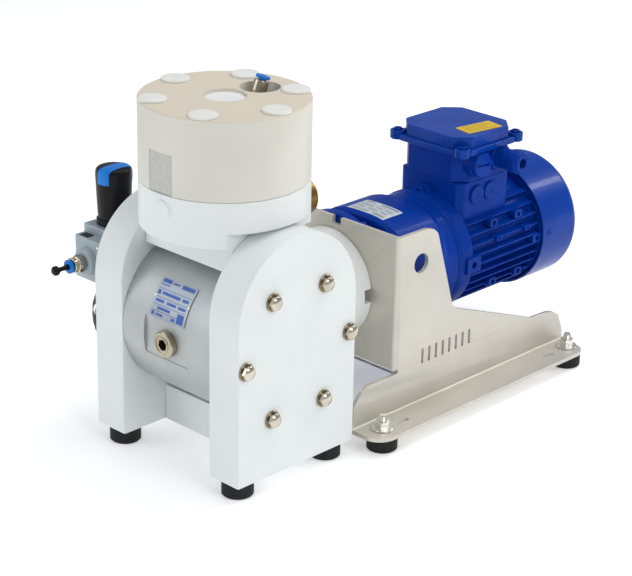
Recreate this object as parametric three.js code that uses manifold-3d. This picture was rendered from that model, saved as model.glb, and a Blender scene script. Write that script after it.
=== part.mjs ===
// Motor-driven double-diaphragm pump with pulsation dampener, gear motor, sheet bracket and air regulator.
// Millimetres, +Z up. +Y runs from the pump towards the motor, +X towards the housing with the bolt heads.
import * as THREE from 'three';
import { mergeVertices } from 'three/addons/utils/BufferGeometryUtils.js';
import Module from 'manifold-3d';

const wasm = await Module();
wasm.setup();

// ---- driving dimensions ----
const GAP = 0.3;                 // space left between neighbouring pieces
const HALF_W = 75;               // half width of a pump housing, also its arch radius
const ARCH_Z = 152;              // centre of the housing arch
const IN_X = 59;                 // inner face of a housing
const OUT_X = 97;                // outer face of a housing
const PUMP_Z = 114.5;            // pump, gear and motor axis height above the housing base
const MOTOR_Z = PUMP_Z;
const FOOT_H = 16;               // rubber feet under housings and bracket
const FOOT_R = 15;
const BOLT_R = 66;               // pitch radius of the tie bolts
const DAMP_R = 78.7;             // pulsation dampener radius
const BASE_TOP = 258.4;
const DAMP_TOP = 333.2;
const PLATE_Y = 142;             // front of the motor bracket
const SHEET = 4;                 // bracket sheet thickness
const BRACKET_X = 88;            // outer side of the bracket walls
const MOTOR_R = 67;
const COWL_END = 452;
const REG_X = -126;              // air regulator column
const REG_Y = -25;
const FACETS = 0.66;             // share of the full side count used for round pieces

// ---- finishes ----
const finish = {
  plastic: { color: 0xdee2e2, roughness: 0.55, metalness: 0 },
  dampener: { color: 0xd2cfc6, roughness: 0.6, metalness: 0 },
  alu: { color: 0xa9abab, roughness: 0.4, metalness: 0.9 },
  steel: { color: 0xbdb9b0, roughness: 0.35, metalness: 1 },
  sheet: { color: 0xc9c5bc, roughness: 0.5, metalness: 0.9 },
  brass: { color: 0x9a7c3c, roughness: 0.35, metalness: 1 },
  paint: { color: 0x0a2f8f, roughness: 0.3, metalness: 0.1 },
  rubber: { color: 0x111112, roughness: 0.8, metalness: 0 },
  black: { color: 0x141414, roughness: 0.5, metalness: 0 },
  blue: { color: 0x1277d6, roughness: 0.4, metalness: 0 },
  cast: { color: 0xb4bcc0, roughness: 0.5, metalness: 0.5 },
  label: { color: 0x8fa6c2, roughness: 0.4, metalness: 0.3 },
  ball: { color: 0xe8e6df, roughness: 0.35, metalness: 0 },
  fabric: { color: 0xe9e9e6, roughness: 0.6, metalness: 0 },
};

const group = new THREE.Group();
group.name = 'diaphragm_pump_set';

// ---- solid helpers ----
function toSolid(geometry) {
  const bare = geometry.clone();
  bare.deleteAttribute('normal');
  bare.deleteAttribute('uv');
  const welded = mergeVertices(bare, 1e-4);
  const mesh = new wasm.Mesh({
    numProp: 3,
    vertProperties: new Float32Array(welded.attributes.position.array),
    triVerts: new Uint32Array(welded.index.array),
  });
  return new wasm.Manifold(mesh);
}

function toGeometry(solid) {
  const mesh = solid.getMesh();
  const flat = new THREE.BufferGeometry();
  flat.setAttribute('position', new THREE.BufferAttribute(new Float32Array(mesh.vertProperties), 3));
  flat.setIndex(new THREE.BufferAttribute(new Uint32Array(mesh.triVerts), 1));
  const faceted = flat.toNonIndexed();
  faceted.computeVertexNormals();
  return faceted;
}

function box(x0, x1, y0, y1, z0, z1) {
  const g = new THREE.BoxGeometry(x1 - x0, y1 - y0, z1 - z0);
  g.translate((x0 + x1) / 2, (y0 + y1) / 2, (z0 + z1) / 2);
  return toSolid(g);
}

function turn(g, axis) {
  if (axis.isVector3) g.applyQuaternion(new THREE.Quaternion().setFromUnitVectors(new THREE.Vector3(0, 1, 0), axis));
  if (axis === 'z') g.rotateX(Math.PI / 2);
  if (axis === 'x') g.rotateZ(-Math.PI / 2);
  return g;
}

// A body of revolution: profile is [radius, distance along the axis], ending on the axis.
function lathe(axis, c, profile, segments = 40) {
  const pts = profile.map(([r, h]) => new THREE.Vector2(r, h));
  const sides = segments > 8 ? Math.max(12, 4 * Math.round(segments * FACETS / 4)) : segments;
  const g = turn(new THREE.LatheGeometry(pts, sides), axis);
  g.translate(c[0], c[1], c[2]);
  return toSolid(g);
}

function cyl(axis, c, r, from, to, segments = 40) {
  return lathe(axis, c, [[0, from], [r, from], [r, to], [0, to]], segments);
}

// A hexagon prism, across-flats size af.
function hex(axis, c, af, from, to) {
  return cyl(axis, c, af / Math.sqrt(3), from, to, 6);
}

// A prism from a flat outline: 'x' outlines are (y, z), 'y' outlines (x, z), 'z' outlines (x, y).
function prism(axis, outline, from, to) {
  const shape = new THREE.Shape(outline.map(([a, b]) => new THREE.Vector2(a, b)));
  const g = new THREE.ExtrudeGeometry(shape, { depth: to - from, bevelEnabled: false });
  g.translate(0, 0, from);
  const m = new THREE.Matrix4();
  if (axis === 'x') m.set(0, 0, 1, 0, 1, 0, 0, 0, 0, 1, 0, 0, 0, 0, 0, 1);
  if (axis === 'y') m.set(1, 0, 0, 0, 0, 0, -1, from + to, 0, 1, 0, 0, 0, 0, 0, 1);
  g.applyMatrix4(m);
  return toSolid(g);
}

function arc(cy, cz, r, a0, a1, n) {
  const out = [];
  for (let i = 0; i <= n; i += 1) {
    const a = THREE.MathUtils.degToRad(a0 + (a1 - a0) * i / n);
    out.push([cy + r * Math.cos(a), cz + r * Math.sin(a)]);
  }
  return out;
}

function join(parts) {
  return parts.reduce((a, b) => a.add(b));
}

function cut(body, tools) {
  return tools.reduce((a, b) => a.subtract(b), body);
}

function put(name, look, solid) {
  const f = finish[look];
  const material = new THREE.MeshStandardMaterial({ color: f.color, roughness: f.roughness, metalness: f.metalness });
  material.name = name;
  const mesh = new THREE.Mesh(toGeometry(solid), material);
  mesh.name = name;
  group.add(mesh);
}

const hexAngles = [0, 60, 120, 180, 240, 300];
function onCircle(r, deg) {
  const a = THREE.MathUtils.degToRad(deg);
  return [r * Math.cos(a), r * Math.sin(a)];
}

const boltSpots = hexAngles.map((deg) => {
  const [y, z] = onCircle(BOLT_R, deg);
  return [0, y, PUMP_Z + z];
});
const SCREW_END = 30;            // the two bolts level with the shafts stop here, short of the drive bore

// ---- pump housings with chamber, valve bores and bolt holes ----
const housingOutline = [[-HALF_W, 0], [HALF_W, 0], ...arc(0, ARCH_Z, HALF_W, 0, 180, 32)];
const VALVE_X = 78;
for (const [name, s] of [['right_housing', 1], ['left_housing', -1]]) {
  const lo = s > 0 ? IN_X : -OUT_X;
  const hi = s > 0 ? OUT_X : -IN_X;
  const body = prism('x', housingOutline, lo, hi);
  const inner = s * (IN_X - 1);
  const chamber = cyl('x', [0, 0, PUMP_Z], 48, Math.min(inner, s * 75), Math.max(inner, s * 75), 48);
  const tools = [chamber];
  for (const spot of boltSpots) tools.push(cyl('x', spot, 4.5, -120, 120, 16));
  tools.push(cyl('z', [s * VALVE_X, 0, 0], 7, 14, 36, 24));
  tools.push(cyl('z', [s * VALVE_X, 0, 0], 10.5, 34, 74, 24));
  tools.push(cyl('z', [s * VALVE_X, 0, 0], 7, 154, 178, 24));
  tools.push(cyl('z', [s * VALVE_X, 0, 0], 10.5, 176, 207, 24));
  const a = Math.min(inner, s * VALVE_X);
  const b = Math.max(inner, s * VALVE_X);
  tools.push(cyl('x', [0, 0, 21], 7, a, b, 24));
  tools.push(cyl('x', [0, 0, 202], 7, a, b, 24));
  put(name, 'plastic', cut(body, tools));
}

// ---- centre block: drum with shaft bores, a milled pad and bolt holes ----
const BLOCK_R = 74.5;
const SHAFT_R = 12;
const blockParts = cyl('x', [0, 0, PUMP_Z], BLOCK_R, -IN_X + GAP, IN_X - GAP, 72);
const blockTools = [
  cyl('x', [0, 0, PUMP_Z], SHAFT_R + 0.5, -80, 80, 32),
  cyl('x', [0, 0, PUMP_Z], 48, -80, -46, 48),
  cyl('x', [0, 0, PUMP_Z], 48, 46, 80, 48),
  cyl('y', [0, 0, PUMP_Z], 19.5, 13, 90, 32),
  box(-29, 29, -90, -71.5, 96, 133.5),
  box(-13.5, 13.5, -30, 30, 179, 200),
  cyl('y', [0, 0, PUMP_Z - 2], 11.3, -90, -66, 32),
  cyl('y', [0, 0, PUMP_Z - 2], 8.4, -90, -58, 32),
];
boltSpots.forEach((spot, i) => {
  const spans = i % 3 === 0 ? [[-120, 1 - SCREW_END], [SCREW_END - 1, 120]] : [[-120, 120]];
  for (const [from, to] of spans) blockTools.push(cyl('x', spot, 4.5, from, to, 16));
});
put('centre_block', 'alu', cut(blockParts, blockTools));

// ---- inlet block under the drum, with a port and the cross channel ----
const ribOutline = [[-22.3, 0], [22.3, 0], [22.3, 36.5], [-22.3, 36.5]];
const inletBlock = prism('x', ribOutline, -IN_X + GAP, IN_X - GAP);
put('inlet_manifold', 'plastic', cut(inletBlock, [
  cyl('x', [0, 0, 21], 7, -80, 80, 24),
  cyl('y', [0, 0, 21], 10.5, 0, 40, 24),
]));

// ---- rubber feet under the housings ----
const footProfile = [[0, -FOOT_H], [FOOT_R - 1, -FOOT_H], [FOOT_R, -FOOT_H + 1], [FOOT_R, -GAP], [0, -GAP]];
let footNo = 0;
for (const x of [-78, 78]) {
  for (const y of [-57, 57]) {
    footNo += 1;
    put(`pump_foot_${footNo}`, 'rubber', lathe('z', [x, y, 0], footProfile, 32));
  }
}

// ---- tie bolts through both housings, and four short screws level with the shafts ----
function boltHead(spot, s) {
  const h = (d) => OUT_X + d;
  const washer = [[0, h(GAP)], [8.5, h(GAP)], [8.5, h(1.9)], [0, h(1.9)]];
  const nut = [[0, h(1)], [7.4, h(1)], [7.4, h(5)], [6.3, h(6.8)], [4.5, h(7.6)], [0, h(7.9)]];
  return [[washer, 24], [nut, 6]].map(([profile, n]) => {
    const placed = s > 0 ? profile : profile.map(([r, v]) => [r, -v]).reverse();
    return lathe('x', spot, placed, n);
  });
}

boltSpots.forEach((spot, i) => {
  if (i % 3 !== 0) {
    const rod = cyl('x', spot, 4, -OUT_X - 6, OUT_X + 6, 16);
    put(`tie_bolt_${i + 1}`, 'steel', join([rod, ...boltHead(spot, 1), ...boltHead(spot, -1)]));
    return;
  }
  for (const [side, s] of [['right', 1], ['left', -1]]) {
    const from = s > 0 ? SCREW_END : -OUT_X - 6;
    const to = s > 0 ? OUT_X + 6 : -SCREW_END;
    put(`screw_${side}_${i + 1}`, 'steel', join([cyl('x', spot, 4, from, to, 16), ...boltHead(spot, s)]));
  }
});

// ---- drain plug with hexagon socket ----
const plug = lathe('y', [0, 0, PUMP_Z - 2], [[0, -77.6], [11.8, -77.6], [12.8, -76.8], [12.8, -71.8], [8, -71.8],
  [8, -60], [0, -60]], 40);
const plugBody = cut(plug, [hex('y', [0, 0, PUMP_Z - 2], 10, -80, -70)]);
put('drain_plug', 'steel', cut(plugBody, [cyl('y', [0, 0, PUMP_Z - 2], 9.6, -79, -76.6, 32)]));

// ---- curved nameplate on the drum ----
const plateArc = [...arc(0, PUMP_Z, BLOCK_R + 1.1, 180 - 15.4, 180 - 44.6, 10),
  ...arc(0, PUMP_Z, BLOCK_R + GAP, 180 - 44.6, 180 - 15.4, 10)];
put('nameplate', 'label', prism('x', plateArc.reverse(), -23.4, 23.4));

// ---- diaphragms, diaphragm shaft, drive shaft with eccentric ----
put('diaphragm_shaft', 'steel', cyl('x', [0, 0, PUMP_Z], SHAFT_R, -56, 56, 32));
for (const [name, s] of [['diaphragm_right', 1], ['diaphragm_left', -1]]) {
  const p = [[0, 56.3], [44, 57], [45.5, 59], [44, 61.4], [16, 61.8], [12, 64], [0, 64.5]];
  const placed = s > 0 ? p : p.map(([r, v]) => [r, -v]).reverse();
  put(name, 'fabric', lathe('x', [0, 0, PUMP_Z], placed, 40));
}
put('drive_shaft', 'steel', join([
  cyl('y', [0, 0, MOTOR_Z], 10, 22, 164, 32),
  cyl('y', [0, 0, MOTOR_Z], 14.5, 30, 40, 32),
  cyl('y', [5, 0, MOTOR_Z], 12, 15, 23, 32),
]));

// ---- valve balls ----
for (const [side, s] of [['right', 1], ['left', -1]]) {
  for (const [kind, seat] of [['inlet', 34], ['outlet', 176]]) {
    const ball = new THREE.SphereGeometry(9, 14, 9);
    ball.rotateX(Math.PI / 2);
    ball.translate(s * VALVE_X, 0, seat + 6.2);
    put(`valve_ball_${side}_${kind}`, 'ball', toSolid(ball));
  }
}

// ---- dampener base: plain disc whose lower step fits between the housings, with a neck to the drum ----
const baseDisc = cyl('z', [0, 0, 0], DAMP_R, 229.4, BASE_TOP, 72);
const baseStep = cyl('z', [0, 0, 0], DAMP_R, 215, 230, 72).intersect(box(-58.5, 58.5, -90, 90, 210, 232));
const neck = box(-58.5, 58.5, -46, 46, 189.3, 216);
const portPlug = lathe('y', [3.8, 0, 245], [[0, -80.6], [8, -80.6], [10.5, -79], [10.5, -74], [0, -74]], 28);
put('dampener_base', 'plastic', cut(join([baseDisc, baseStep, neck, portPlug]), [
  cyl('x', [0, 0, 202], 7, -80, 80, 24),
  cyl('z', [0, 0, 0], 7, 200, 270, 24),
  cyl('y', [0, 0, 214], 13.5, 20, 90, 32),
]));

// ---- dampener body with recessed centre, side flat and fitting seat ----
const bodyDisc = cyl('z', [0, 0, 0], DAMP_R, BASE_TOP + GAP, DAMP_TOP, 72);
const HOLE_DEPTH = 18;
const fitSpot = [2.5, 41.4];
const lean = new THREE.Vector3(0.087, 0.32, 0.943).normalize();
const bodyTools = [
  cyl('z', [0, 0, 0], 20.1, DAMP_TOP - 4.5, DAMP_TOP + 5, 40),
  cyl('z', [fitSpot[0], fitSpot[1], 0], 18.8, DAMP_TOP - HOLE_DEPTH, DAMP_TOP + 5, 36),
  box(-16, 16, -90, -77, 250, 294.5),
];
for (const deg of hexAngles) {
  const [x, y] = onCircle(66, deg);
  bodyTools.push(cyl('z', [x, y, 0], 10.5, DAMP_TOP - 7, DAMP_TOP + 5, 24));
}
put('dampener_body', 'dampener', cut(bodyDisc, bodyTools));

hexAngles.forEach((deg, i) => {
  const [x, y] = onCircle(66, deg);
  const capProfile = [[0, DAMP_TOP - 6], [10.2, DAMP_TOP - 6], [10.2, DAMP_TOP + GAP], [13.4, DAMP_TOP + GAP],
    [13.4, DAMP_TOP + 1.6], [12.2, DAMP_TOP + 2.6], [0, DAMP_TOP + 2.8]];
  put(`dampener_cap_${i + 1}`, 'ball', lathe('z', [x, y, 0], capProfile, 28));
});

// ---- air fitting in the dampener top ----
const fitC = [-0.7, 38.4, DAMP_TOP - HOLE_DEPTH + 3.3];
put('dampener_fitting', 'steel', cut(join([
  hex(lean, fitC, 15, 0, 9),
  cyl(lean, fitC, 7.2, 8, 21, 32),
]), [cyl(lean, fitC, 4.2, 4, 30, 24)]));
put('dampener_release_ring', 'blue', cut(join([
  cyl(lean, fitC, 3.8, 12, 23, 24),
  lathe(lean, fitC, [[0, 22.6], [6.4, 22.6], [6.9, 25.6], [0, 25.6]], 28),
]), [cyl(lean, fitC, 3, 0, 40, 20)]));

// ---- outlet nipple at the back of the dampener ----
put('outlet_nipple', 'brass', cut(join([
  cyl('y', [0, 0, 214], 13, 30, 84, 32),
  cyl('y', [0, 0, 214], 20, 80, 104, 40),
]), [cyl('y', [0, 0, 214], 9, 20, 110, 28)]));

// ---- adapter ring between drum and bracket ----
const ring = cyl('y', [0, 0, MOTOR_Z + 1], 55.5, 40, PLATE_Y - GAP, 64);
put('adapter_ring', 'plastic', cut(ring, [
  cyl('x', [0, 0, PUMP_Z], BLOCK_R + GAP, -70, 70, 72),
  cyl('y', [0, 0, MOTOR_Z], 24, 0, 160, 36),
  box(IN_X - GAP, 90, 0, HALF_W + GAP, 0, 250),
  box(-90, -IN_X + GAP, 0, HALF_W + GAP, 0, 250),
  box(40, 60, PLATE_Y - 10, PLATE_Y + 5, MOTOR_Z - 5, MOTOR_Z + 9),
]));

// ---- bent sheet bracket ----
const lower = [[83, 0], [406, 0], [405.5, 12], [398, 32], [388, 38.5], [379, 40.5], [353, 41.5], [229, 88],
  [224, 93], [198, 175], [192, 180.5], [182, 183.3], [141, 183.5], [141, 44], [104, 43], [96, 39], [86, 26]];
const sidePocket = [[137, 38.5], [150, 38.5], [150, 47], [137, 47]];
const relief = prism('x', sidePocket, -100, 100);
const profileSolid = prism('x', lower, -120, 120);
const X = BRACKET_X;
const outerU = join([box(-X, X, PLATE_Y + 6, 420, -1, 200), box(-X + 6, X - 6, PLATE_Y, 420, -1, 200),
  cyl('z', [-X + 6, PLATE_Y + 6, 0], 6, -1, 200, 28), cyl('z', [X - 6, PLATE_Y + 6, 0], 6, -1, 200, 28)]);
const innerU = join([box(-X + SHEET, X - SHEET, PLATE_Y + 6, 430, -2, 210),
  box(-X + 6, X - 6, PLATE_Y + SHEET, 430, -2, 210),
  cyl('z', [-X + 6, PLATE_Y + 6, 0], 2, -2, 210, 20), cyl('z', [X - 6, PLATE_Y + 6, 0], 2, -2, 210, 20)]);
const upright = outerU.subtract(innerU).subtract(box(-X + SHEET, X - SHEET, 100, 160, -5, 43));
const arms = join([box(-X, -X + SHEET, 80, 160, -1, 46), box(X - SHEET, X, 80, 160, -1, 46)]);
const walls = cut(upright.add(arms).intersect(profileSolid), [relief]);
const flanges = [];
for (const s of [-1, 1]) {
  const edge = s * (X - SHEET);
  const rim = s * 125;
  const lo = Math.min(edge, rim);
  const hi = Math.max(edge, rim);
  const pad = box(lo, hi, 83, 402, 0, SHEET);
  const keep = join([box(Math.min(edge, s * 105), Math.max(edge, s * 105), 80, 410, -1, 6),
    box(lo, hi, 103, 382, -1, 6), cyl('z', [s * 105, 103, 0], 20, -1, 6, 32), cyl('z', [s * 105, 382, 0], 20, -1, 6, 32)]);
  flanges.push(pad.intersect(keep));
}
const footSpots = [[-106, 107], [106, 107], [-106, 391], [106, 391]];
const bracketTools = [
  cyl('y', [0, 0, MOTOR_Z], 36, 130, 160, 40),
  cyl('x', [0, 175, 150], 10, -100, 100, 28),
  box(1, 12, 130, 160, 176, 190),
];
for (const [x, y] of footSpots) bracketTools.push(cyl('z', [x, y, 0], 4.6, -2, 8, 16));
put('motor_bracket', 'sheet', cut(join([walls, ...flanges]), bracketTools));

footSpots.forEach(([x, y], i) => {
  put(`bracket_foot_${i + 1}`, 'rubber', lathe('z', [x, y, 0], footProfile, 32));
  put(`foot_nut_${i + 1}`, 'steel', join([
    cyl('z', [x, y, 0], 4, 0, 19, 16),
    cyl('z', [x, y, 0], 11, SHEET + GAP, SHEET + 2, 24),
    hex('z', [x, y, 0], 13, SHEET + 1, SHEET + 8.5),
  ]));
});

// ---- gear housing: round flange behind the bracket, neck, square-shouldered case, taper to the motor ----
const axisC = [0, 0, MOTOR_Z];
const PLATE_BACK = PLATE_Y + SHEET + GAP;
const CASE_HALF = 62;
const CASE_POWER = 2.9;
const caseOutline = [];
for (let i = 0; i < 48; i += 1) {
  const a = Math.PI * 2 * i / 48;
  const c = Math.cos(a);
  const v = Math.sin(a);
  const r = CASE_HALF / (Math.abs(c) ** CASE_POWER + Math.abs(v) ** CASE_POWER) ** (1 / CASE_POWER);
  caseOutline.push([r * c, MOTOR_Z + r * v]);
}
put('gearbox', 'paint', cut(join([
  lathe('y', axisC, [[0, PLATE_BACK], [70, PLATE_BACK], [70, 157], [52, 157], [52, 180], [0, 180]], 56),
  prism('y', caseOutline, 178, 245),
  lathe('y', axisC, [[0, 243], [61.8, 243], [62.3, 262], [0, 262]], 64),
]), [cyl('y', axisC, 11, 140, 170, 28)]));

// ---- motor housing with parallel cooling fins ----
const MOTOR_Y0 = 262 + GAP;
const motorParts = [lathe('y', axisC, [[0, MOTOR_Y0], [62.5, MOTOR_Y0], [63.5, 268], [63.5, 284], [55, 289], [55, 391.5],
  [62.8, 391.5], [62.8, 398], [0, 398]], 64)];
const round = cyl('y', axisC, MOTOR_R - 4.5, 280, 392, 64);
const FIN_END = 389.5;          // short of the rear shield, so air can pass round the fin ends
const FIN_PITCH = 10.2;
const fins = [];
for (let i = -4.5; i <= 4.5; i += 1) {
  const z = MOTOR_Z + i * FIN_PITCH;
  fins.push(box(-80, 80, 282, FIN_END, z - 1.3, z + 1.3));
  const x = i * FIN_PITCH;
  if (Math.abs(i) < 4) fins.push(box(x - 1.3, x + 1.3, 282, FIN_END, MOTOR_Z - 80, MOTOR_Z));
}
motorParts.push(join(fins).intersect(round));
// the terminal neck and two round bosses on its right side
const TB_X = 2;
const TB_Y = 321;
function octagon(hx, hy, c) {
  return [[hx - c, -hy], [hx, -hy + c], [hx, hy - c], [hx - c, hy], [-hx + c, hy], [-hx, hy - c], [-hx, -hy + c],
    [-hx + c, -hy]].map(([x, y]) => [TB_X + x, TB_Y + y]);
}
const NECK_TOP = 191.7;
motorParts.push(prism('z', octagon(42, 40, 7), 150, NECK_TOP));
for (const y of [305.7, 327]) motorParts.push(cyl('x', [0, y, 176.3], 10, 40, 46.5, 28));
// cast lugs between the fins: outer x, centre y, centre height from the axis, length, height
for (const [x, y, dz, len, tall] of [[66, 282, -2, 21, 17], [56.5, 322, 30.6, 12, 8.6], [56.5, 361, 30.6, 12, 8.6],
  [63.6, 324, 15.3, 10, 5], [63.6, 369, 15.3, 10, 5], [63.8, 385, 0, 14, 10], [55, 326, -35, 12, 9], [55, 367, -34, 12, 9]]) {
  for (const side of [-1, 1]) {
    motorParts.push(box(Math.min(side * 38, side * x), Math.max(side * 38, side * x), y - len / 2, y + len / 2,
      MOTOR_Z + dz - tall / 2, MOTOR_Z + dz + tall / 2));
  }
}
put('motor_body', 'paint', cut(join(motorParts), [cyl('y', axisC, 9, 300, 410, 28)]));

// ---- rotor shaft with fan, inside the cowl ----
const fanParts = [cyl('y', axisC, 8.5, 302, 436, 24), cyl('y', axisC, 50, 404, 408, 40), cyl('y', axisC, 15, 404, 430, 28)];
for (let i = 0; i < 8; i += 1) {
  const g = new THREE.BoxGeometry(38, 20, 2.4);
  g.translate(31, 416, 0);
  g.rotateY(THREE.MathUtils.degToRad(45 * i));
  g.translate(0, 0, MOTOR_Z);
  fanParts.push(toSolid(g));
}
put('fan_rotor', 'black', join(fanParts));

// ---- fan cowl with air slots in its back ----
const cowlOut = lathe('y', axisC, [[0, 391], [MOTOR_R, 391], [MOTOR_R, 441], [MOTOR_R - 2, 447], [MOTOR_R - 9, COWL_END],
  [0, COWL_END]], 64);
const cowlIn = lathe('y', axisC, [[0, 380], [MOTOR_R - 2.2, 380], [MOTOR_R - 2.2, 440], [MOTOR_R - 10, COWL_END - 2.5],
  [0, COWL_END - 2.5]], 64);
const cowlTools = [cowlIn];
for (let i = -5; i <= 5; i += 1) {
  const z = i * 9;
  const half = Math.sqrt(52 * 52 - z * z);
  cowlTools.push(box(-half, -3, 440, 460, MOTOR_Z + z - 2.4, MOTOR_Z + z + 2.4));
  cowlTools.push(box(3, half, 440, 460, MOTOR_Z + z - 2.4, MOTOR_Z + z + 2.4));
}
const cowl = cut(cowlOut, cowlTools);
put('fan_cowl', 'paint', cowl);

// ---- terminal box on the motor ----
const ENTRY_Z = 210.5;
const PLUG_Y = 303;
const GLAND_Y = 336;
const entries = [];
for (const y of [PLUG_Y, GLAND_Y]) entries.push(cyl('x', [0, y, ENTRY_Z], 14.5, 30, 49, 32));
const plugCap = lathe('x', [0, PLUG_Y, ENTRY_Z], [[0, 48], [13, 48], [13, 52.6], [11.8, 54.2], [0, 54.2]], 36);
// the entries stop under the cover
const entryBlock = join([...entries, plugCap]).intersect(box(20, 60, 280, 360, 193, 221.7));
const tbBody = join([prism('z', octagon(43, 41, 15), NECK_TOP + GAP, 221.7), entryBlock]);
put('terminal_box', 'paint', tbBody.subtract(box(52.6, 58, PLUG_Y - 9, PLUG_Y + 9, ENTRY_Z - 1.2, ENTRY_Z + 1.2)));
const lugs = [];
for (const sx of [-1, 1]) {
  for (const sy of [-1, 1]) lugs.push(cyl('z', [TB_X + sx * 43, TB_Y + sy * 41, 0], 8, 222, 231, 20));
}
put('terminal_cover', 'paint', join([prism('z', octagon(49, 47, 13), 222, 228), prism('z', octagon(45, 43, 15), 227, 240),
  ...lugs]));

// ---- cable gland on the terminal box ----
put('cable_gland', 'paint', cut(join([
  lathe('x', [0, GLAND_Y, ENTRY_Z], [[0, 49.3], [11, 49.3], [11, 52], [0, 52]], 32),
  hex('x', [0, GLAND_Y, ENTRY_Z], 19, 51, 57),
  lathe('x', [0, GLAND_Y, ENTRY_Z], [[0, 56], [10.6, 56], [10.6, 65], [12, 66], [12, 73.5], [9.4, 77.8], [0, 77.8]], 32),
]), [cyl('x', [0, GLAND_Y, ENTRY_Z], 5.2, 53, 82, 24)]));

// ---- air filter-regulator beside the left housing ----
const regC = [REG_X, REG_Y, 0];
const column = box(REG_X - 20, REG_X + 20, REG_Y - 22, REG_Y + 20, 132, 184);
const bracketPad = box(REG_X + 19, -OUT_X - GAP, REG_Y - 14, REG_Y + 14, 134, 160);
const knobProfile = [[0, 184.3], [17.2, 184.3], [17.2, 189.8], [15.7, 191], [17.4, 233], [17.2, 236.5], [15.4, 239.3],
  [9, 240.8], [0, 241.2]];
put('regulator_knob', 'black', lathe('z', regC, knobProfile, 40));
put('filter_bowl', 'black', lathe('z', [REG_X, REG_Y - 4.5, 0], [[0, 70], [11, 70], [17, 74], [19.5, 84], [20, 92],
  [19.4, 103], [16.5, 112], [15.5, 116], [15.5, 131.7], [0, 131.7]], 40));
const BRANCH_Y = REG_Y - 20;
const portC = [REG_X, 0, 154];
put('regulator_body', 'cast', cut(join([column, bracketPad,
  box(REG_X - 18.5, REG_X + 19, BRANCH_Y - 14, BRANCH_Y + 1, 134, 176),
  lathe('y', portC, [[0, BRANCH_Y - 21], [11.5, BRANCH_Y - 21], [12.8, BRANCH_Y - 19.5], [14, BRANCH_Y - 13],
    [0, BRANCH_Y - 13]], 36),
]), [cyl('y', portC, 7, BRANCH_Y - 30, BRANCH_Y - 10, 28)]));
const FIT_Y = BRANCH_Y - 21 - GAP;
put('regulator_fitting', 'steel', cut(join([
  cyl('y', portC, 6.6, FIT_Y - 3, BRANCH_Y - 12, 28),
  hex('y', portC, 16, FIT_Y - 6, FIT_Y),
  cyl('y', portC, 7.6, FIT_Y - 13, FIT_Y - 5, 32),
]), [cyl('y', portC, 4.2, FIT_Y - 20, FIT_Y + 5, 24)]));
put('regulator_release_ring', 'blue', cut(join([
  cyl('y', portC, 3.8, FIT_Y - 14.5, FIT_Y - 6, 24),
  cyl('y', portC, 6.6, FIT_Y - 17, FIT_Y - 14.3, 28),
]), [cyl('y', portC, 3, FIT_Y - 30, FIT_Y + 10, 20)]));
put('blanking_pin', 'black', join([
  cyl('y', portC, 2.6, FIT_Y - 31, FIT_Y - 2, 20),
  lathe('y', portC, [[0, FIT_Y - 34.5], [3.4, FIT_Y - 34.5], [4.6, FIT_Y - 33], [4.6, FIT_Y - 30], [3.4, FIT_Y - 28.6],
    [0, FIT_Y - 28.6]], 24),
]));

// ---- put the origin at the centre of the footprint, on the ground ----
const bounds = new THREE.Box3().setFromObject(group);
const middle = bounds.getCenter(new THREE.Vector3());
for (const mesh of group.children) mesh.geometry.translate(-middle.x, -middle.y, -bounds.min.z);

export default group;
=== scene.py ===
# %% [markdown]
# # A motor-driven diaphragm pump, rebuilt piece by piece
# Two white plastic housings hold a metal drum between them. Inside, one shaft pushes a diaphragm to and fro in
# each housing, and four loose balls act as valves. A blue gear motor on a bent steel bracket drives that shaft,
# a round pulsation dampener sits on top, and a small air regulator hangs at the left.
#
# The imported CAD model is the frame: it says where every piece is and which ones move. This lesson makes a finer
# piece for each of them, in the same place, and gives it a finish. It starts by loading that frame.

import math

import bmesh
import bpy
from mathutils import Matrix, Vector


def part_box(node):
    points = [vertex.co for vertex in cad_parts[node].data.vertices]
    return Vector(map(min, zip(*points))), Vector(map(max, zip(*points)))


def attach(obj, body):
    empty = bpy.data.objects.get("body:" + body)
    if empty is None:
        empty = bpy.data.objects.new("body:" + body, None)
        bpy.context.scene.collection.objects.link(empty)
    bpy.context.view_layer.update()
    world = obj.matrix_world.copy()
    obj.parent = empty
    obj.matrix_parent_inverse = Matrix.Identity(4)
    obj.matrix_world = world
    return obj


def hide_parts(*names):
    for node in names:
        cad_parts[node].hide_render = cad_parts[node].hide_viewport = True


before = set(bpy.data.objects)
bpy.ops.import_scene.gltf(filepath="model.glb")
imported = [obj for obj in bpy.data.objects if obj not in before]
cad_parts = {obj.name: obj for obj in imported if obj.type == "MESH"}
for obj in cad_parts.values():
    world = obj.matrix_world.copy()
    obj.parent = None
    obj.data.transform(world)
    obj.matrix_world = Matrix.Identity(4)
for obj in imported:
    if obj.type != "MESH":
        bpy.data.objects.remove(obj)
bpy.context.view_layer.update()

right_low, right_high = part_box("right_housing")
left_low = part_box("left_housing")[0]
PUMP = Vector(((left_low.x + right_high.x) / 2, (right_low.y + right_high.y) / 2, right_low.z))
TO_ROW = Matrix.Translation(PUMP) @ Matrix.Scale(0.001, 4)

# %% [markdown]
# ## Working in millimetres
# A workshop drawing is in millimetres, measured from the pump's middle, with its base at height 0. Every piece
# below is drawn that way and moved into the frame at the very end by `TO_ROW`. The sizes that several pieces
# share are named once here. Where the frame can say a size, it is read from the frame.

# %% Shared sizes
def in_pump(point):
    """A point of the frame, in millimetres from the pump's origin."""
    return (Vector(point) - PUMP) * 1000


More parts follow.
